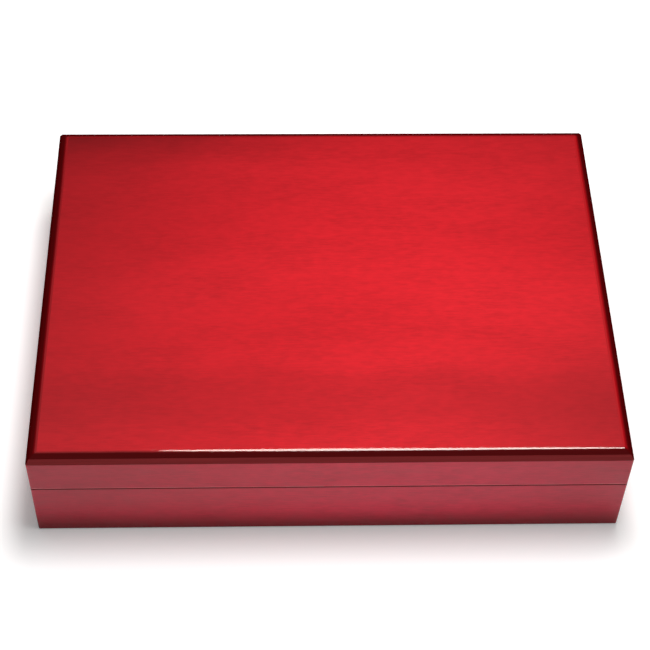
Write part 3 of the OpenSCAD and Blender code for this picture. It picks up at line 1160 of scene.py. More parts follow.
@dataclass(frozen=True)
class CaseSizes:
    """Sizes of the case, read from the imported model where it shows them.

    Attributes:
        half_w: Half the width.
        half_d: Half the depth.
        foot: Height of the lower edges of the walls.
        base_top: Height of the rim of the base.
        lid_low: Height of the rim of the lid.
        panel_low: Height of the underside of the top panel.
        bevel_low: Height of the foot of the bevel.
        top: Height of the box.
        floor_top: Height of the upper face of the bottom panel.
        wall: Thickness of the walls.
        rabbet: How far the bottom panel is let into the walls.
        corner: Radius of the upright corners.
        corner_steps: Steps of half an upright corner.
        edge_round: Radius of the edges at the seam and the foot.
        bevel_in: How far in the bevel reaches.
        land: Land behind the bevel, which rolls off softly.
        knee_in: How far in the knee of the bevel lies.
        knee_rise: Height of the knee above the foot of the bevel.
        roll_in: How far in the soft roll of the top begins.
        roll_deg: Slope of the roll where it begins.
        roll_end_deg: Slope of the roll at the bevel.
    """

    half_w: float
    half_d: float
    foot: float
    base_top: float
    lid_low: float
    panel_low: float
    bevel_low: float
    top: float
    floor_top: float
    wall: float = 10 * MM
    rabbet: float = 4 * MM
    corner: float = 1 * MM
    corner_steps: int = 6
    edge_round: float = 0.5 * MM
    bevel_in: float = 4.5 * MM
    land: float = 1 * MM
    knee_in: float = 1.8 * MM
    knee_rise: float = 2.6 * MM
    roll_in: float = 6.1 * MM
    roll_deg: float = 1.7
    roll_end_deg: float = 3.2

    @classmethod
    def from_frame(cls) -> "CaseSizes":
        """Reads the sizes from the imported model.

        Returns:
            The sizes.
        """
        wall_low, wall_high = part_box("base_front_wall")
        rail_low, rail_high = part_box("lid_front_rail")
        return cls(
            half_w=cad_high.x,
            half_d=cad_high.y,
            foot=wall_low.z,
            base_top=wall_high.z,
            lid_low=rail_low.z,
            panel_low=rail_high.z,
            bevel_low=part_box("lid_front_edging")[0].z,
            top=cad_high.z,
            floor_top=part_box("base_floor")[1].z,
        )

    @property
    def edging_w(self) -> float:
        """Width of the edging."""
        return self.bevel_in + self.land

    def rolled(self, inward: float) -> float:
        """Gives the height of the soft roll.

        Args:
            inward: Distance from the outer face.

        Returns:
            The height.
        """
        run = self.roll_in - inward
        start, end = (math.tan(math.radians(s)) for s in (self.roll_deg, self.roll_end_deg))
        return self.top - run * (start + (end - start) * run / (self.roll_in - self.bevel_in) / 2)

    def line(self, side: Side, inward: float) -> list[Vector]:
        """Gives the line along one side at one distance from the outer face.

        Args:
            side: The side.
            inward: The distance.

        Returns:
            Points from mitre to mitre, seen from above.
        """
        across = side.grain is Grain.ACROSS
        half, reach = (self.half_w, self.half_d) if across else (self.half_d, self.half_w)
        corner, radius = self.corner, self.corner - inward
        end = []
        for i in range(self.corner_steps + 1):
            turn = math.pi / 4 * (1 - i / self.corner_steps)
            x, y = half - inward, inward
            if radius > 0:
                x, y = half - corner + radius * math.sin(turn), corner - radius * math.cos(turn)
            end.append((x, y))
        points = [(-x, y) for x, y in end] + end[::-1]
        spin = Matrix.Rotation(math.radians(side.value), 2)
        return [spin @ Vector((x, y - reach)) for x, y in points]


@dataclass(frozen=True)
class Corner:
    """Corner of a board's section.

    Attributes:
        inward: Distance from the outer face.
        height: Height above the table.
        radius: Radius that it is rounded with.
        steps: Steps of the round.
    """

    inward: float
    height: float
    radius: float = 0.0
    steps: int = 7

    @property
    def place(self) -> Vector:
        """Its place in the section."""
        return Vector((self.inward, self.height))

    def points(self, before: "Corner", after: "Corner") -> Iterator[Flat]:
        """Gives the points of the rounded corner.

        Args:
            before: The corner before it.
            after: The corner after it.

        Yields:
            The points as inward distance and height.
        """
        here = self.place
        if not self.radius:
            yield tuple(here)
            return
        back, ahead = ((other.place - here).normalized() for other in (before, after))
        half = back.angle(ahead) / 2
        centre = here + (back + ahead).normalized() * self.radius / math.sin(half)
        reach = self.radius / math.tan(half)
        start, end = here + back * reach - centre, here + ahead * reach - centre
        sweep = start.angle_signed(end)
        for i in range(self.steps + 1):
            yield tuple(centre + Matrix.Rotation(-sweep * i / self.steps, 2) @ start)


@dataclass
class MitredBoard:
    """A board along one side of the box, mitred at both ends, with rounded upright corners.

    Attributes:
        side: Side that it stands at.
        section: Corners of its section.
        sizes: Sizes of the case.
        foot_in: How far in the faces reach that take the second material.
    """

    side: Side
    section: list[Corner]
    sizes: CaseSizes
    foot_in: float = 0.0

    def outline(self) -> list[Flat]:
        """Gives the rounded section.

        Returns:
            Its points as inward distance and height.
        """
        nexts = self.section[1:] + self.section[:1]
        trios = zip(self.section[-1:] + self.section, self.section, nexts)
        return [point for before, corner, after in trios for point in corner.points(before, after)]

    def mesh(self, name: str) -> Mesh:
        """Makes the mesh of the board in its place.

        Args:
            name: Name of the mesh.

        Returns:
            The mesh.
        """
        build = bmesh.new()
        outline = self.outline()
        rows = [
            [build.verts.new((*point, height)) for point in self.sizes.line(self.side, inward)]
            for inward, height in outline
        ]
        for i in range(len(rows)):
            j = (i + 1) % len(rows)
            foot = (outline[i][0] + outline[j][0]) / 2 < self.foot_in
            for k in range(len(rows[i]) - 1):
                corners = (rows[i][k], rows[i][k + 1], rows[j][k + 1], rows[j][k])
                build.faces.new(corners).material_index = int(foot)
        for end in (0, -1):
            build.faces.new([row[end] for row in rows])
        return mesh_from(welded(build), name)


@dataclass
class TopBoard:
    """The top panel, a board whose middle stands up between the edgings.

    Attributes:
        sizes: Sizes of the case.
        soft: Steps before the inner end of the roll, where it eases into the flat top.
        bore_room: Room around the dial instrument in its bore.
        bore_steps: Corners of the bore.
        part_deg: Angle from which an edge of the top is a crease.
        upward: Least upward share of a normal of the top.
    """

    sizes: CaseSizes
    soft: Flat = (0.35 * MM, 0.1 * MM)
    bore_room: float = 0.1 * MM
    bore_steps: int = 96
    part_deg: float = 1.0
    upward: float = 0.9

    def mesh(self, name: str) -> Mesh:
        """Makes the mesh in its place, with the faces of each side marked for their own veneer.

        Args:
            name: Name of the mesh.

        Returns:
            The mesh: material 0 is the top, 1 the front and back, 2 the ends.
        """
        s = self.sizes
        runs = (s.edging_w, *(s.roll_in - step for step in self.soft), s.roll_in)
        levels = [(0, s.panel_low), (0, s.bevel_low), (s.edging_w, s.bevel_low)]
        levels += [(run, s.rolled(run)) for run in runs]
        build = bmesh.new()
        rings = [
            [[build.verts.new((*point, height)) for point in s.line(side, inward)] for side in Side]
            for inward, height in levels
        ]
        for i, (under, over) in enumerate(zip(rings, rings[1:])):
            for side, low, high in zip(Side, under, over):
                for j in range(len(low) - 1):
                    face = build.faces.new((low[j], low[j + 1], high[j + 1], high[j]))
                    if i == 0:
                        face.material_index = 1 if side.grain is Grain.ACROSS else 2
        for ring in (rings[0], rings[-1]):
            build.faces.new([point for line in ring for point in line])
        return mesh_from(welded(build), name)

    def part_sides(self, mesh: Mesh) -> None:
        """Keeps the soft rolls of the four sides apart from each other and from the flat top.

        Args:
            mesh: Mesh of the board.
        """
        build = bmesh.new()
        build.from_mesh(mesh)
        for edge in build.edges:
            faces = edge.link_faces
            if len(faces) == 2 and all(face.normal.z > self.upward for face in faces):
                edge.smooth = edge.calc_face_angle() < math.radians(self.part_deg)
        build.to_mesh(mesh)
        build.free()

    def bore(self) -> Build:
        """Makes the bore for the dial instrument.

        Returns:
            The shape to cut out.
        """
        low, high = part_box("hygrometer_case")
        middle = (low + high) / 2
        outline = circle(
            (middle.y, -middle.x), (high.x - low.x) / 2 + self.bore_room, self.bore_steps,
        )
        tool = prism(outline, self.sizes.panel_low - MM, high.z + self.bore_room)
        tool.transform(Matrix.Rotation(-math.pi / 2, 4, "Y"))
        return tool


@dataclass
class HingeCuts:
    """What the hinges and the lid's stop take out of the boards at the back.

    Attributes:
        axis: Point on the hinge axis at the middle of the box.
        half_w: Half the width of the box.
        spots: Where along the box the hinges are.
        stop_deg: Slope of the faces that stop the lid.
        depth: How far in the hinge axis lies.
        leaf_w: How far in from the axis a leaf's recess reaches.
        leaf_half: Half the length of a leaf's recess.
        leaf_deep: Depth of a leaf's recess from the axis.
        barrel: Radius of the room around the barrel.
        barrel_half: Half the length of that room.
        past: How far the cutting shapes stand past the boards.
    """

    axis: Point
    half_w: float
    spots: Flat
    stop_deg: float = 48.0
    depth: float = 2.8 * MM
    leaf_w: float = 10 * MM
    leaf_half: float = 17.1 * MM
    leaf_deep: float = 1.55 * MM
    barrel: float = 2.6 * MM
    barrel_half: float = 18.1 * MM
    past: float = 1 * MM

    @classmethod
    def from_frame(cls) -> "HingeCuts":
        """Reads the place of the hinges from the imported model.

        Returns:
            The cuts.
        """
        joint = next(j for j in frame["joints"] if j["name"] == "lid_hinge")
        boxes = (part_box(f"hinge_{label}_pin") for label in ("left", "right"))
        spots = tuple((low.x + high.x) / 2 for low, high in boxes)
        return cls(tuple(joint["pos_m"]), cad_high.x, spots)

    def groove(self) -> Build:
        """Makes the groove along the back whose faces stop the open lid.

        Returns:
            The shape to cut out.
        """
        out = self.depth + self.past
        rise = out * math.tan(math.radians(self.stop_deg))
        _, y, z = self.axis
        end = self.half_w + self.past
        return prism([(y, z), (y + out, z - rise), (y + out, z + rise)], -end, end)

    def recesses(self) -> list[Build]:
        """Makes the recesses of the leaves and barrels.

        Returns:
            The shapes to cut out.
        """
        _, y, z = self.axis
        inner, outer = y - self.leaf_w, y + self.past
        low, high = z - self.leaf_deep, z + self.leaf_deep
        leaf = [(inner, low), (outer, low), (outer, high), (inner, high)]
        rooms = ((leaf, self.leaf_half), (circle((y, z), self.barrel), self.barrel_half))
        return [prism(room, s - half, s + half) for s in self.spots for room, half in rooms]


@dataclass
class Case:
    """The lacquered boards of the base and the lid, and the dark edging.

    Attributes:
        sizes: Sizes of the case.
        cuts: What the hinges take out of the boards.
        edge_round: Radius between the roll of the top and the bevel.
        knee_round: Radius of the knee of the bevel.
        past_knee: How far past the knee the finish of the lower slope reaches at the ends.
        roll_steps: Steps of the roll across the edging.
        top_clouds_and_shade: Clouds of darker stain on the top; the one at the back left is partly
            painted shade.
    """

    sizes: CaseSizes
    cuts: HingeCuts
    edge_round: float = 0.5 * MM
    knee_round: float = 1.2 * MM
    past_knee: float = 0.3 * MM
    roll_steps: int = 6
    top_clouds_and_shade: tuple[Cloud, ...] = (
        Cloud((0.22, -0.0965, 0.06), (0.256, 0.114, 1.0), 0.42),
        Cloud((0.0, -0.075, 0.06), (0.42, 0.03, 1.0), 0.22),
        # Partly painted shade: darkens the back-left corner where the lamps' light falls off.
        Cloud((-0.191, 0.125, 0.06), (0.306, 0.056, 1.0), 0.9),
    )

    def wall_section(self) -> list[Corner]:
        """Gives the section of a wall of the base.

        Returns:
            The corners of the section.
        """
        s = self.sizes
        return [
            Corner(0, s.foot, s.edge_round),
            Corner(s.wall - s.rabbet, s.foot),
            Corner(s.wall - s.rabbet, s.floor_top),
            Corner(s.wall, s.floor_top),
            Corner(s.wall, s.base_top),
            Corner(0, s.base_top, s.edge_round),
        ]

    def rail_section(self) -> list[Corner]:
        """Gives the section of a rail of the lid.

        Returns:
            The corners of the section.
        """
        s = self.sizes
        return [
            Corner(0, s.lid_low, s.edge_round),
            Corner(s.wall, s.lid_low),
            Corner(s.wall, s.panel_low),
            Corner(0, s.panel_low),
        ]

    def edging_section(self) -> list[Corner]:
        """Gives the section of the bevelled edging.

        Returns:
            The corners of the section.
        """
        s = self.sizes
        runs = [s.edging_w - s.land * i / self.roll_steps for i in range(self.roll_steps)]
        return [
            Corner(0, s.bevel_low),
            Corner(s.edging_w, s.bevel_low),
            *(Corner(run, s.rolled(run)) for run in runs),
            Corner(s.bevel_in, s.rolled(s.bevel_in), self.edge_round),
            Corner(s.knee_in, s.bevel_low + s.knee_rise, self.knee_round),
        ]

    @property
    def rim(self) -> RimTone:
        """The dark toner around the lid."""
        return RimTone((self.sizes.half_w, self.sizes.half_d))

    def veneer(self, side: Side) -> SideVeneer:
        """Gives the veneer of the boards along one side, lighter and bluer than the top's as
        painted light.

        Args:
            side: The side.

        Returns:
            The veneer.
        """
        reach = (0.19, 1.0, 0.2) if side.grain is Grain.ACROSS else (1.0, 0.15, 0.2)
        # Lighter and bluer than the top's veneer: painted light and painted reflection standing in
        # for fill light and the floor's reflection on the walls.
        return SideVeneer(
            f"lacquered veneer {side.grain.name.lower()}", side.grain,
            centre=(0.01, 0.0, 0.04), reach=reach, toned=0.44,
            light=srgb(249, 30, 74), dark=srgb(238, 24, 63),
            seam=(self.sizes.base_top + self.sizes.lid_low) / 2,
        )

    def top_veneer(self) -> TopVeneer:
        """Gives the veneer of the top panel.

        Returns:
            The veneer.
        """
        # The burst and the clouds darken the top away from its middle: partly toner and stain,
        # partly painted shade where the lamps' light falls off.
        return TopVeneer(
            "lacquered veneer top", Grain.ACROSS,
            centre=(0.041, -0.052, 0.06), reach=(0.36, 0.315, 1.0), toned=0.98,
            light=srgb(245, 35, 47), dark=srgb(228, 27, 39), rim=self.rim, clouds=self.top_clouds_and_shade,
        )

    def edging(self, side: Side) -> tuple[DarkEdging, EdgingFoot]:
        """Gives the finishes of the edging along one side, with painted shade and light in their
        colours.

        Args:
            side: The side.

        Returns:
            The finishes of its upper and its lower slope.
        """
        # Painted shade and light: the left edging is darker and the right lighter than front and
        # back, by how the lamps fall.
        ends = {Side.LEFT: srgb(158, 15, 23), Side.RIGHT: srgb(190, 19, 28)}
        inner = ends.get(side, srgb(196, 20, 30))
        # At the front the lower slope is lighter and pinker: dark toner with a painted reflection
        # of the floor; elsewhere it is dark toner without gloss.
        reflection_painted = side is Side.FRONT
        foot, gloss = (srgb(142, 37, 39), 0.35) if reflection_painted else (srgb(84, 3, 5), 0.0)
        upper = DarkEdging(f"dark edging {side.label}", side.grain, self.rim, inner)
        return upper, EdgingFoot(
            f"dark edging foot {side.label}", side.grain, self.rim, foot, gloss,
        )

    def foot_in(self, side: Side) -> float:
        """Gives how far in the finish of the lower slope reaches.

        Args:
            side: The side.

        Returns:
            The distance.
        """
        s = self.sizes
        reaches = {Side.FRONT: s.knee_in, Side.BACK: s.bevel_in - self.edge_round}
        return reaches.get(side, s.knee_in + self.past_knee)

    def board(self, board: MitredBoard, name: str, node: str) -> Piece:
        """Makes one board in place of its CAD node."""
        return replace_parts(into_scene(name, board.mesh(name)), node)

    def build(self) -> Iterator[Piece]:
        """Makes the boards, the edging and the top panel.

        Yields:
            Each piece.
        """
        for side in Side:
            label = side.label
            wall = MitredBoard(side, self.wall_section(), self.sizes)
            rail = MitredBoard(side, self.rail_section(), self.sizes)
            bevel = MitredBoard(side, self.edging_section(), self.sizes, self.foot_in(side))
            pieces = (
                ("base", self.board(wall, f"base_{label}_board", f"base_{label}_wall")),
                ("lid", self.board(rail, f"lid_{label}_frame", f"lid_{label}_rail")),
            )
            for body, piece in pieces:
                if side is not Side.FRONT:
                    recesses = self.cuts.recesses() if side is Side.BACK else []
                    cut(piece, [self.cuts.groove(), *recesses])
                even_normals(piece)
                dress(piece, self.veneer(side))
                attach(piece, body)
                yield piece
            strip = self.board(bevel, f"lid_{label}_bevel", f"lid_{label}_edging")
            even_normals(strip)
            dress_faces(strip, *self.edging(side))
            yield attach(strip, "lid")
        yield self.top_board()

    def top_board(self) -> Piece:
        """Makes the top panel.

        Returns:
            The piece.
        """
        board = TopBoard(self.sizes)
        piece = into_scene("lid_top_board", board.mesh("lid_top_board"))
        cut(piece, [board.bore()])
        board.part_sides(piece.data)
        even_normals(piece)
        dress_faces(piece, self.top_veneer(), self.veneer(Side.FRONT), self.veneer(Side.RIGHT))
        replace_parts(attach(piece, "lid"), "lid_top_panel")
        return piece


# Linings, soft goods and fittings


@dataclass
class Lining:
    """The cedar boards inside, the bottom panel and the divider.

    Attributes:
        eased: Width of the sanded edges.
    """

    eased: float = 0.3 * MM

    def build(self) -> Iterator[Piece]:
        """Dresses the CAD pieces.

        Yields:
            Each piece.
        """
        across = ("base_cedar_floor", "base_cedar_front", "base_cedar_back")
        across += ("lid_cedar_ceiling", "lid_cedar_front", "lid_cedar_back")
        depth = ("base_cedar_left", "base_cedar_right", "lid_cedar_left", "lid_cedar_right")
        yield from dress_nodes(dict.fromkeys(across, CEDAR[Grain.ACROSS]), self.eased)
        yield from dress_nodes(dict.fromkeys((*depth, "divider"), CEDAR[Grain.DEPTH]), self.eased)
        yield from dress_nodes({"base_floor": FIBREBOARD})


@dataclass
class SoftSlab:
    """A flat soft piece with rounded corners, a dimpled face and slightly uneven edges.

    Attributes:
        name: Name of the piece.
        node: CAD node that it stands for.
        corner: Radius of its corners seen from above.
        cell: Size of a mesh cell.
        dimple: Depth of the dimples in its lower face.
        dimple_size: Size of a dimple.
        edge: Radius of its upper and lower edges.
        least_cells: Least cells along a side.
        uneven: Share that its sides are drawn in at most.
        least_corner: Least radius of a corner.
        crease_deg: Angle from which an edge is a crease.
    """

    name: str
    node: str
    corner: float
    cell: float
    dimple: float
    dimple_size: float
    edge: float
    least_cells: int = 4
    uneven: float = 0.0012
    least_corner: float = 0.2 * MM
    crease_deg: float = 60.0

    def spot(self, half: Vector, inset: float, across: float, deep: float) -> Flat:
        """Gives a place in the slab's outline.

        Args:
            half: Half the size of the slab.
            inset: How far inside the outline the edge lies.
            across: Place along x, from -1 to 1.
            deep: Place along y, from -1 to 1.

        Returns:
            The place from the middle of the slab.
        """
        wide, long = half.x - inset, half.y - inset
        radius = max(self.corner - inset, self.least_corner)
        x, y = across * wide, deep * long
        over_x, over_y = abs(x) - (wide - radius), abs(y) - (long - radius)
        if over_x > 0 and over_y > 0:
            share = max(over_x, over_y) / math.hypot(over_x, over_y)
            x = math.copysign(wide - radius + over_x * share, x)
            y = math.copysign(long - radius + over_y * share, y)
        return x, y

    def lift(self, x: float, y: float, z: float) -> float:
        """Gives how far a dimple lifts a place, from 0 to 1."""
        return 0.5 + 0.5 * noise.noise(Vector((x, y, z)) / self.dimple_size)

    def mesh(self) -> Mesh:
        """Makes the mesh in the place of the CAD node.

        Returns:
            The mesh.
        """
        low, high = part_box(self.node)
        half, middle = (high - low) / 2, (high + low) / 2
        cells = (round(2 * size / self.cell) for size in (half.x, half.y))
        columns, rows = (max(self.least_cells, count) for count in cells)
        build = bmesh.new()

        def placed(i: int, j: int, inset: float) -> Flat:
            """Gives the place of a point of the grid."""
            return self.spot(half, inset, 2 * i / columns - 1, 2 * j / rows - 1)

        loop = [(i, 0) for i in range(columns)] + [(columns, j) for j in range(rows)]
        loop += [(i, rows) for i in range(columns, 0, -1)] + [(0, j) for j in range(rows, 0, -1)]
        faces = []
        for height in (low.z, high.z):
            grid = {}
            for j in range(rows + 1):
                for i in range(columns + 1):
                    x, y = placed(i, j, self.edge)
                    inside = height == low.z and 0 < i < columns and 0 < j < rows
                    z = height + (self.dimple * self.lift(x, y, height) if inside else 0.0)
                    grid[i, j] = build.verts.new((middle.x + x, middle.y + y, z))
            for j in range(rows):
                for i in range(columns):
                    corners = ((i, j), (i + 1, j), (i + 1, j + 1), (i, j + 1))
                    build.faces.new([grid[corner] for corner in corners])
            faces.append([grid[spot] for spot in loop])
        sides = []
        for height in (low.z + self.edge, high.z - self.edge):
            ring = []
            for i, j in loop:
                x, y = placed(i, j, 0.0)
                kept = 1 - self.uneven * self.lift(x, y, height)
                ring.append(build.verts.new((middle.x + x * kept, middle.y + y * kept, height)))
            sides.append(ring)
        rings = [faces[0], *sides, faces[1]]
        for under, over in zip(rings, rings[1:]):
            for i in range(len(loop)):
                build.faces.new((under[i - 1], under[i], over[i], over[i - 1]))
        bmesh.ops.recalc_face_normals(build, faces=build.faces)
        return mesh_from(build, self.name, self.crease_deg)

    def build(self, body: str, slot: str, finish: Finish) -> Piece:
        """Makes the piece in place of its CAD node.

        Args:
            body: CAD body that it moves with.
            slot: Material slot of the record; not used.
            finish: Its finish.

        Returns:
            The piece.
        """
        piece = dress(into_scene(self.name, self.mesh()), finish)
        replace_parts(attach(piece, body), self.node)
        return piece


@dataclass
class Underside:
    """The felt sheet that the box stands on.

    Attributes:
        slab: Form of the felt.
    """

    slab: SoftSlab

    def build(self) -> Iterator[Piece]:
        """Makes the felt.

        Yields:
            The felt.
        """
        piece = self.slab.build("base", "felt", FELT)
        yield piece


class Hinges:
    """The two brass hinges with their pins and screws."""

    def build(self) -> Iterator[Piece]:
        """Dresses the CAD pieces.

        Yields:
            Each piece.
        """
        parts = {"base_leaf": BRASS, "lid_leaf": BRASS, "pin": STEEL}
        for label in ("left", "right"):
            yield from dress_nodes({f"hinge_{label}_{p}": look for p, look in parts.items()})
        yield from dress_nodes({"hinge_base_screws": BRASS, "hinge_lid_screws": BRASS})


@dataclass
class Hygrometer:
    """The dial instrument in the ceiling of the lid.

    Attributes:
        scale_deg: Angle of the scale from end to end.
        most: Reading at the end of the scale.
        tick_step: Readings from tick to tick.
        figure_step: Readings from number to number.
        tick_out: Outer radius of the ticks.
        long_tick: Length and width of a tick at a number.
        short_tick: Length and width of a tick between numbers.
        arc_w: Width of the line that joins the ticks.
        figure_r: Radius that the numbers stand on.
        figure_h: Height of the numbers.
        ink: Thickness of the print.
    """

    scale_deg: float = 270.0
    most: int = 100
    tick_step: int = 2
    figure_step: int = 10
    tick_out: float = 17.6 * MM
    long_tick: Flat = (2.6 * MM, 0.34 * MM)
    short_tick: Flat = (1.5 * MM, 0.18 * MM)
    arc_w: float = 0.16 * MM
    figure_r: float = 12.6 * MM
    figure_h: float = 2.7 * MM
    ink: float = 0.02 * MM

    def spoke(self, value: float, radius: float) -> Vector:
        """Gives the place of a reading on the dial, with x to the right and y up."""
        turn = math.radians((value / self.most - 0.5) * self.scale_deg)
        return Vector((math.sin(turn), math.cos(turn), 0.0)) * radius

    def stroke(self, build: Build, value: float, tick: Flat) -> None:
        """Draws a tick of the scale.

        Args:
            build: Geometry that takes the tick.
            value: Reading that it marks.
            tick: Its length and width.
        """
        length, width = tick
        outer, inner = (self.spoke(value, self.tick_out - back) for back in (0.0, length))
        aside = Vector((outer.y, -outer.x, 0.0)).normalized() * width / 2
        corners = [outer + aside, outer - aside, inner - aside, inner + aside]
        build.faces.new([build.verts.new(corner) for corner in corners])

    def arc(self, build: Build) -> None:
        """Draws the thin line that joins the ticks.

        Args:
            build: Geometry that takes the line.
        """
        radii = (self.tick_out, self.tick_out - self.arc_w)
        values = range(self.most + 1)
        rows = [[build.verts.new(self.spoke(v, radius)) for radius in radii] for v in values]
        for a, b in zip(rows, rows[1:]):
            build.faces.new((a[0], a[1], b[1], b[0]))

    def number(self, build: Build, value: int) -> None:
        """Draws a number of the scale.

        Args:
            build: Geometry that takes the number.
            value: The number.
        """
        curve = bpy.data.curves.new("figure", "FONT")
        curve.body = str(value)
        curve.align_x, curve.align_y = "CENTER", "CENTER"
        curve.size = self.figure_h
        helper = bpy.data.objects.new("figure", curve)
        mesh = bpy.data.meshes.new_from_object(helper)
        mesh.transform(Matrix.Translation(self.spoke(value, self.figure_r)))
        build.from_mesh(mesh)
        bpy.data.objects.remove(helper)
        bpy.data.curves.remove(curve)
        bpy.data.meshes.remove(mesh)

    def print_mesh(self) -> Mesh:
        """Makes the printed scale on the face of the dial.

        Returns:
            The mesh.
        """
        build = bmesh.new()
        for value in range(0, self.most + 1, self.tick_step):
            between = value % self.figure_step
            self.stroke(build, value, self.short_tick if between else self.long_tick)
        self.arc(build)
        for value in range(0, self.most + 1, self.figure_step):
            self.number(build, value)
        bmesh.ops.remove_doubles(build, verts=build.verts, dist=WELD)
        bmesh.ops.dissolve_degenerate(build, dist=WELD, edges=build.edges)
        for raised in bmesh.ops.extrude_face_region(build, geom=build.faces[:])["geom"]:
            if isinstance(raised, bmesh.types.BMVert):
                raised.co.z += self.ink
        low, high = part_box("hygrometer_dial")
        middle = Vector(((low.x + high.x) / 2, (low.y + high.y) / 2, low.z))
        build.transform(Matrix.Translation(middle) @ Matrix.Rotation(math.pi, 4, "X"))
        bmesh.ops.recalc_face_normals(build, faces=build.faces)
        return mesh_from(build, "dial_scale")

    def build(self) -> Iterator[Piece]:
        """Prints the scale and dresses the CAD pieces.

        Yields:
            Each piece.
        """
        scale = dress(into_scene("dial_scale", self.print_mesh()), DIAL_INK)
        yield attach(scale, "lid")
        looks = {
            "case": BRASS, "bezel": BRASS, "glass": GLASS, "dial": DIAL_PAINT,
            "coil": BRONZE, "arbor": STEEL, "pointer": POINTER_PAINT,
        }
        yield from dress_nodes({f"hygrometer_{part}": look for part, look in looks.items()})


@dataclass
class Humidifier:
    """The humidifier under the lid.

    Attributes:
        slab: Form of the foam.
        eased: Width of the moulded edges.
    """

    slab: SoftSlab
    eased: float = 0.35 * MM

    def build(self) -> Iterator[Piece]:
        """Makes the foam and dresses the CAD pieces.

        Yields:
            Each piece.
        """
        sponge = self.slab.build("humidifier", "foam", FOAM)
        yield sponge
        yield from dress_nodes({"humidifier_plate": STEEL})
        moulded = dict.fromkeys(("humidifier_case", "humidifier_grille"), PLASTIC)
        yield from dress_nodes(moulded, self.eased)
        yield from dress_nodes({"humidifier_magnets": STEEL})


# Studio


class LampShape(Enum):
    """Outline of a lamp."""

    OBLONG = "RECTANGLE"
    OVAL = "ELLIPSE"


@dataclass(frozen=True)
class Softbox:
    """A lamp behind a cloth.

    Attributes:
        name: Name of the lamp.
        shape: Outline of the cloth.
        place: Where it hangs.
        size: Its width and depth.
        watts: Its power.
        spin_deg: Turn about the line to the box.
        tint: Colour of its light.
        target: Where it points.
    """

    name: str
    shape: LampShape
    place: Point
    size: Flat
    watts: float
    spin_deg: float = 0.0
    tint: Point = (1.0, 1.0, 1.0)
    target: Point = (0.0, 0.0, 0.03)

    def hang(self) -> None:
        """Makes the lamp, turned to the box."""
        data = bpy.data.lights.new(self.name, "AREA")
        data.shape = self.shape.value
        data.size, data.size_y = self.size
        data.energy = self.watts
        data.color = self.tint
        lamp = into_scene(self.name, data)
        lamp.location = self.place
        aim = (Vector(self.target) - lamp.location).to_track_quat("-Z", "Y").to_matrix()
        spin = Matrix.Rotation(math.radians(self.spin_deg), 3, "Z")
        lamp.rotation_euler = (aim @ spin).to_euler()


@dataclass(frozen=True)
class Fade:
    """Change of the floor's own light between two distances from the box.

    Attributes:
        low: Distance where it begins.
        high: Distance where it ends.
        gain: Light that is gained.
    """

    low: float
    high: float
    gain: float


@dataclass(frozen=True)
class Room:
    """The dim room around the studio, by the direction in which it is seen.

    Attributes:
        horizon: Rise where the pale horizon begins to fall off and where it ends, and its light.
        aside: Way to the side where the light above it begins to fall and ends, and that light.
        glow: Way back where the glow behind the box ends and where it is full, and its light.
        glow_front: Way back where the glow begins and where it is full.
        glow_rise: Rise where the glow begins and where it is full.
        fill: Way forward where the fill begins and where it is full, and its light.
        fill_rise: Rise where the fill ends and where it is full.
    """

    horizon: Point = (0.02, 0.1, 0.9)
    aside: Ramp = (0.4, 0.62, 0.12, 0.02)
    glow: Ramp = (0.8, 0.46, 0.0, 0.5)
    glow_front: Flat = (0.1, 0.4)
    glow_rise: Flat = (0.4, 0.65)
    fill: Ramp = (-0.3, -0.7, 0.0, 0.2)
    fill_rise: Flat = (0.8, 0.5)

    def build(self) -> None:
        """Makes the room, paler at the horizon, behind the box and in front of it."""
        world = bpy.data.worlds.new("studio room")
        bpy.context.scene.world = world
        world.use_nodes = True
        graph = Graph(world.node_tree)
        graph.tree.nodes.clear()
        x, y, z = graph.parts(graph.add("ShaderNodeTexCoord").outputs["Generated"])
        above = graph.span(graph.math("ABSOLUTE", x), *self.aside)
        horizon = graph.span(z, *self.horizon, above)
        glow = graph.times(graph.span(y, *self.glow), graph.span(y, *self.glow_front))
        glow = graph.times(glow, graph.span(z, *self.glow_rise))
        fill = graph.times(graph.span(y, *self.fill), graph.span(z, *self.fill_rise))
        light = graph.plus(horizon, graph.plus(glow, fill))
        back = graph.add("ShaderNodeBackground", {"Strength": light})
        graph.add("ShaderNodeOutputWorld", {0: back.outputs[0]})


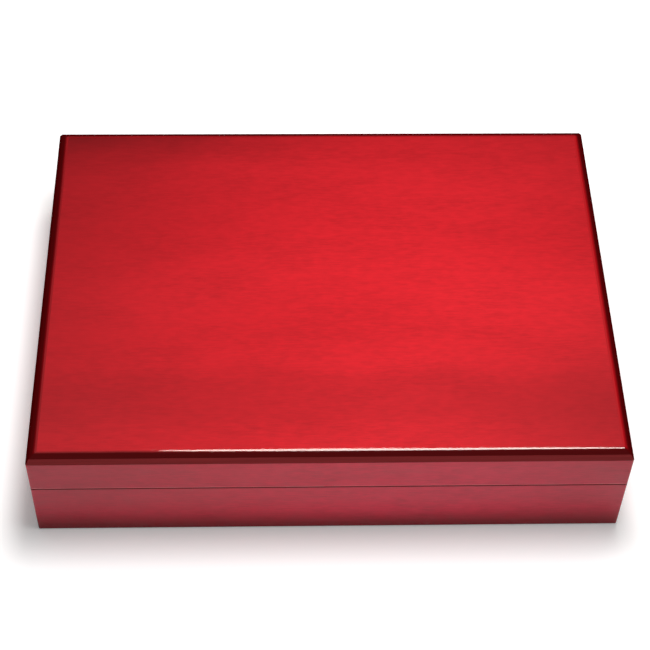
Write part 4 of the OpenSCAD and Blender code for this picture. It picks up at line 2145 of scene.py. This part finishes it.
@dataclass
class Studio:
    """The pale floor, the soft light and the camera.

    Attributes:
        half: Half the width and depth of the box.
        lens: Focal length in millimetres.
        sensor: Width of the camera's sensor in millimetres.
        clip: Nearest distance that the camera sees.
        camera: Place of the camera.
        camera_turn: Turn of the camera in degrees.
        room: The room around.
        lamps: The softboxes.
        floor_r: Radius of the floor.
        floor_steps: Corners of the floor.
        floor_light: Light colour of the floor.
        floor_dark: Dark colour of its specks.
        floor_rough: Roughness of the floor.
        specks: Specks in a metre.
        speck_share: Most that a speck darkens.
        seen_least: Light of its own at the box, seen by the camera.
        seen: How that light changes.
        mirrored: How the light changes that the floor shows in gloss.
    """

    half: Flat
    lens: float = 93.38
    sensor: float = 36.0
    clip: float = 0.01
    camera: Point = (-0.02519, -0.56179, 0.72906)
    camera_turn: Point = (38.593, -1.045, -1.261)
    room: Room = Room()
    lamps: tuple[Softbox, ...] = (
        Softbox("overhead softbox", LampShape.OBLONG, (0.09, 0.012, 1.0), (0.5, 0.234), 6.1),
        Softbox(
            "back softbox", LampShape.OVAL, (0.161, 0.3795, 0.95), (0.648, 0.0475), 2.06,
            spin_deg=16.9, tint=(1.0, 0.96, 0.88),
        ),
    )
    floor_r: float = 8.0
    floor_steps: int = 96
    floor_light: Colour = (0.9, 0.9, 0.9, 1.0)
    floor_dark: Colour = (0.84, 0.84, 0.84, 1.0)
    floor_rough: float = 0.9
    specks: float = 60.0
    speck_share: float = 0.1
    seen_least: float = 0.2
    seen: tuple[Fade, ...] = (Fade(0.0, 0.035, 0.3), Fade(0.1, 0.9, 0.5))
    mirrored: tuple[Fade, ...] = (
        Fade(0.005, 0.018, 0.18), Fade(0.028, 0.04, -0.1),
        Fade(0.036, 0.1, 0.3), Fade(0.1, 0.9, 0.4),
    )

    def floor_material(self) -> Material:
        """Makes the pale floor, which shows white to the camera and in gloss and glass.

        Returns:
            The material.
        """
        graph = MaterialGraph("studio floor")
        speck = graph.noise(graph.place, self.specks, detail=3.0)
        speck = graph.times(speck, self.speck_share)
        path = graph.add("ShaderNodeLightPath").outputs
        direct = graph.math("MAXIMUM", path["Is Camera Ray"], path["Is Transmission Ray"])
        folded = graph.vector("ABSOLUTE", graph.place)
        beside = graph.vector("MAXIMUM", graph.vector("SUBTRACT", folded, (*self.half, 0.0)))
        far = graph.length(beside)
        lifts = []
        for ray, lift, fades in (
            (direct, self.seen_least, self.seen), (path["Is Glossy Ray"], 0.0, self.mirrored),
        ):
            for fade in fades:
                lift = graph.plus(lift, graph.span(far, fade.low, fade.high, 0.0, fade.gain))
            lifts.append(graph.times(ray, lift))
        return graph.surface({
            "Base Color": graph.mix(speck, self.floor_light, self.floor_dark),
            "Roughness": self.floor_rough,
            "Specular IOR Level": 0.0,
            "Emission Color": WHITE,
            "Emission Strength": graph.math("MAXIMUM", *lifts),
        })

    def floor(self) -> None:
        """Makes the floor."""
        build = bmesh.new()
        bmesh.ops.create_circle(
            build, cap_ends=True, radius=self.floor_r, segments=self.floor_steps,
        )
        floor = into_scene("studio_floor", mesh_from(build, "studio_floor"))
        floor.data.materials.append(self.floor_material())

    def eye(self) -> None:
        """Sets up the camera."""
        data = bpy.data.cameras.new("camera")
        data.lens, data.sensor_width, data.clip_start = self.lens, self.sensor, self.clip
        camera = into_scene("camera", data)
        camera.location = self.camera
        camera.rotation_euler = [math.radians(turn) for turn in self.camera_turn]
        bpy.context.scene.camera = camera

    def build(self) -> None:
        """Makes the whole studio."""
        self.floor()
        self.room.build()
        for lamp in self.lamps:
            lamp.hang()
        self.eye()
        bpy.context.scene.view_settings.view_transform = "Standard"


def main() -> None:
    """Builds the studio and every piece of the humidor."""
    logging.basicConfig(level=logging.INFO, format="%(name)s: %(message)s")
    case = Case(CaseSizes.from_frame(), HingeCuts.from_frame())
    Studio((case.sizes.half_w, case.sizes.half_d)).build()
    felt = SoftSlab(
        "base_felt_sheet", "base_felt", corner=1 * MM, cell=2.5 * MM,
        dimple=0.12 * MM, dimple_size=6 * MM, edge=0.35 * MM,
    )
    foam = SoftSlab(
        "humidifier_sponge", "humidifier_foam", corner=2.3 * MM, cell=0.8 * MM,
        dimple=0.45 * MM, dimple_size=1.6 * MM, edge=0.5 * MM,
    )
    parts = (case, Lining(), Underside(felt), Hinges(), Hygrometer(), Humidifier(foam))
    for part in parts:
        for piece in part.build():
            LOG.info("%s rides on %s", piece.name, piece["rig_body"])


if __name__ == "__main__":
    main()
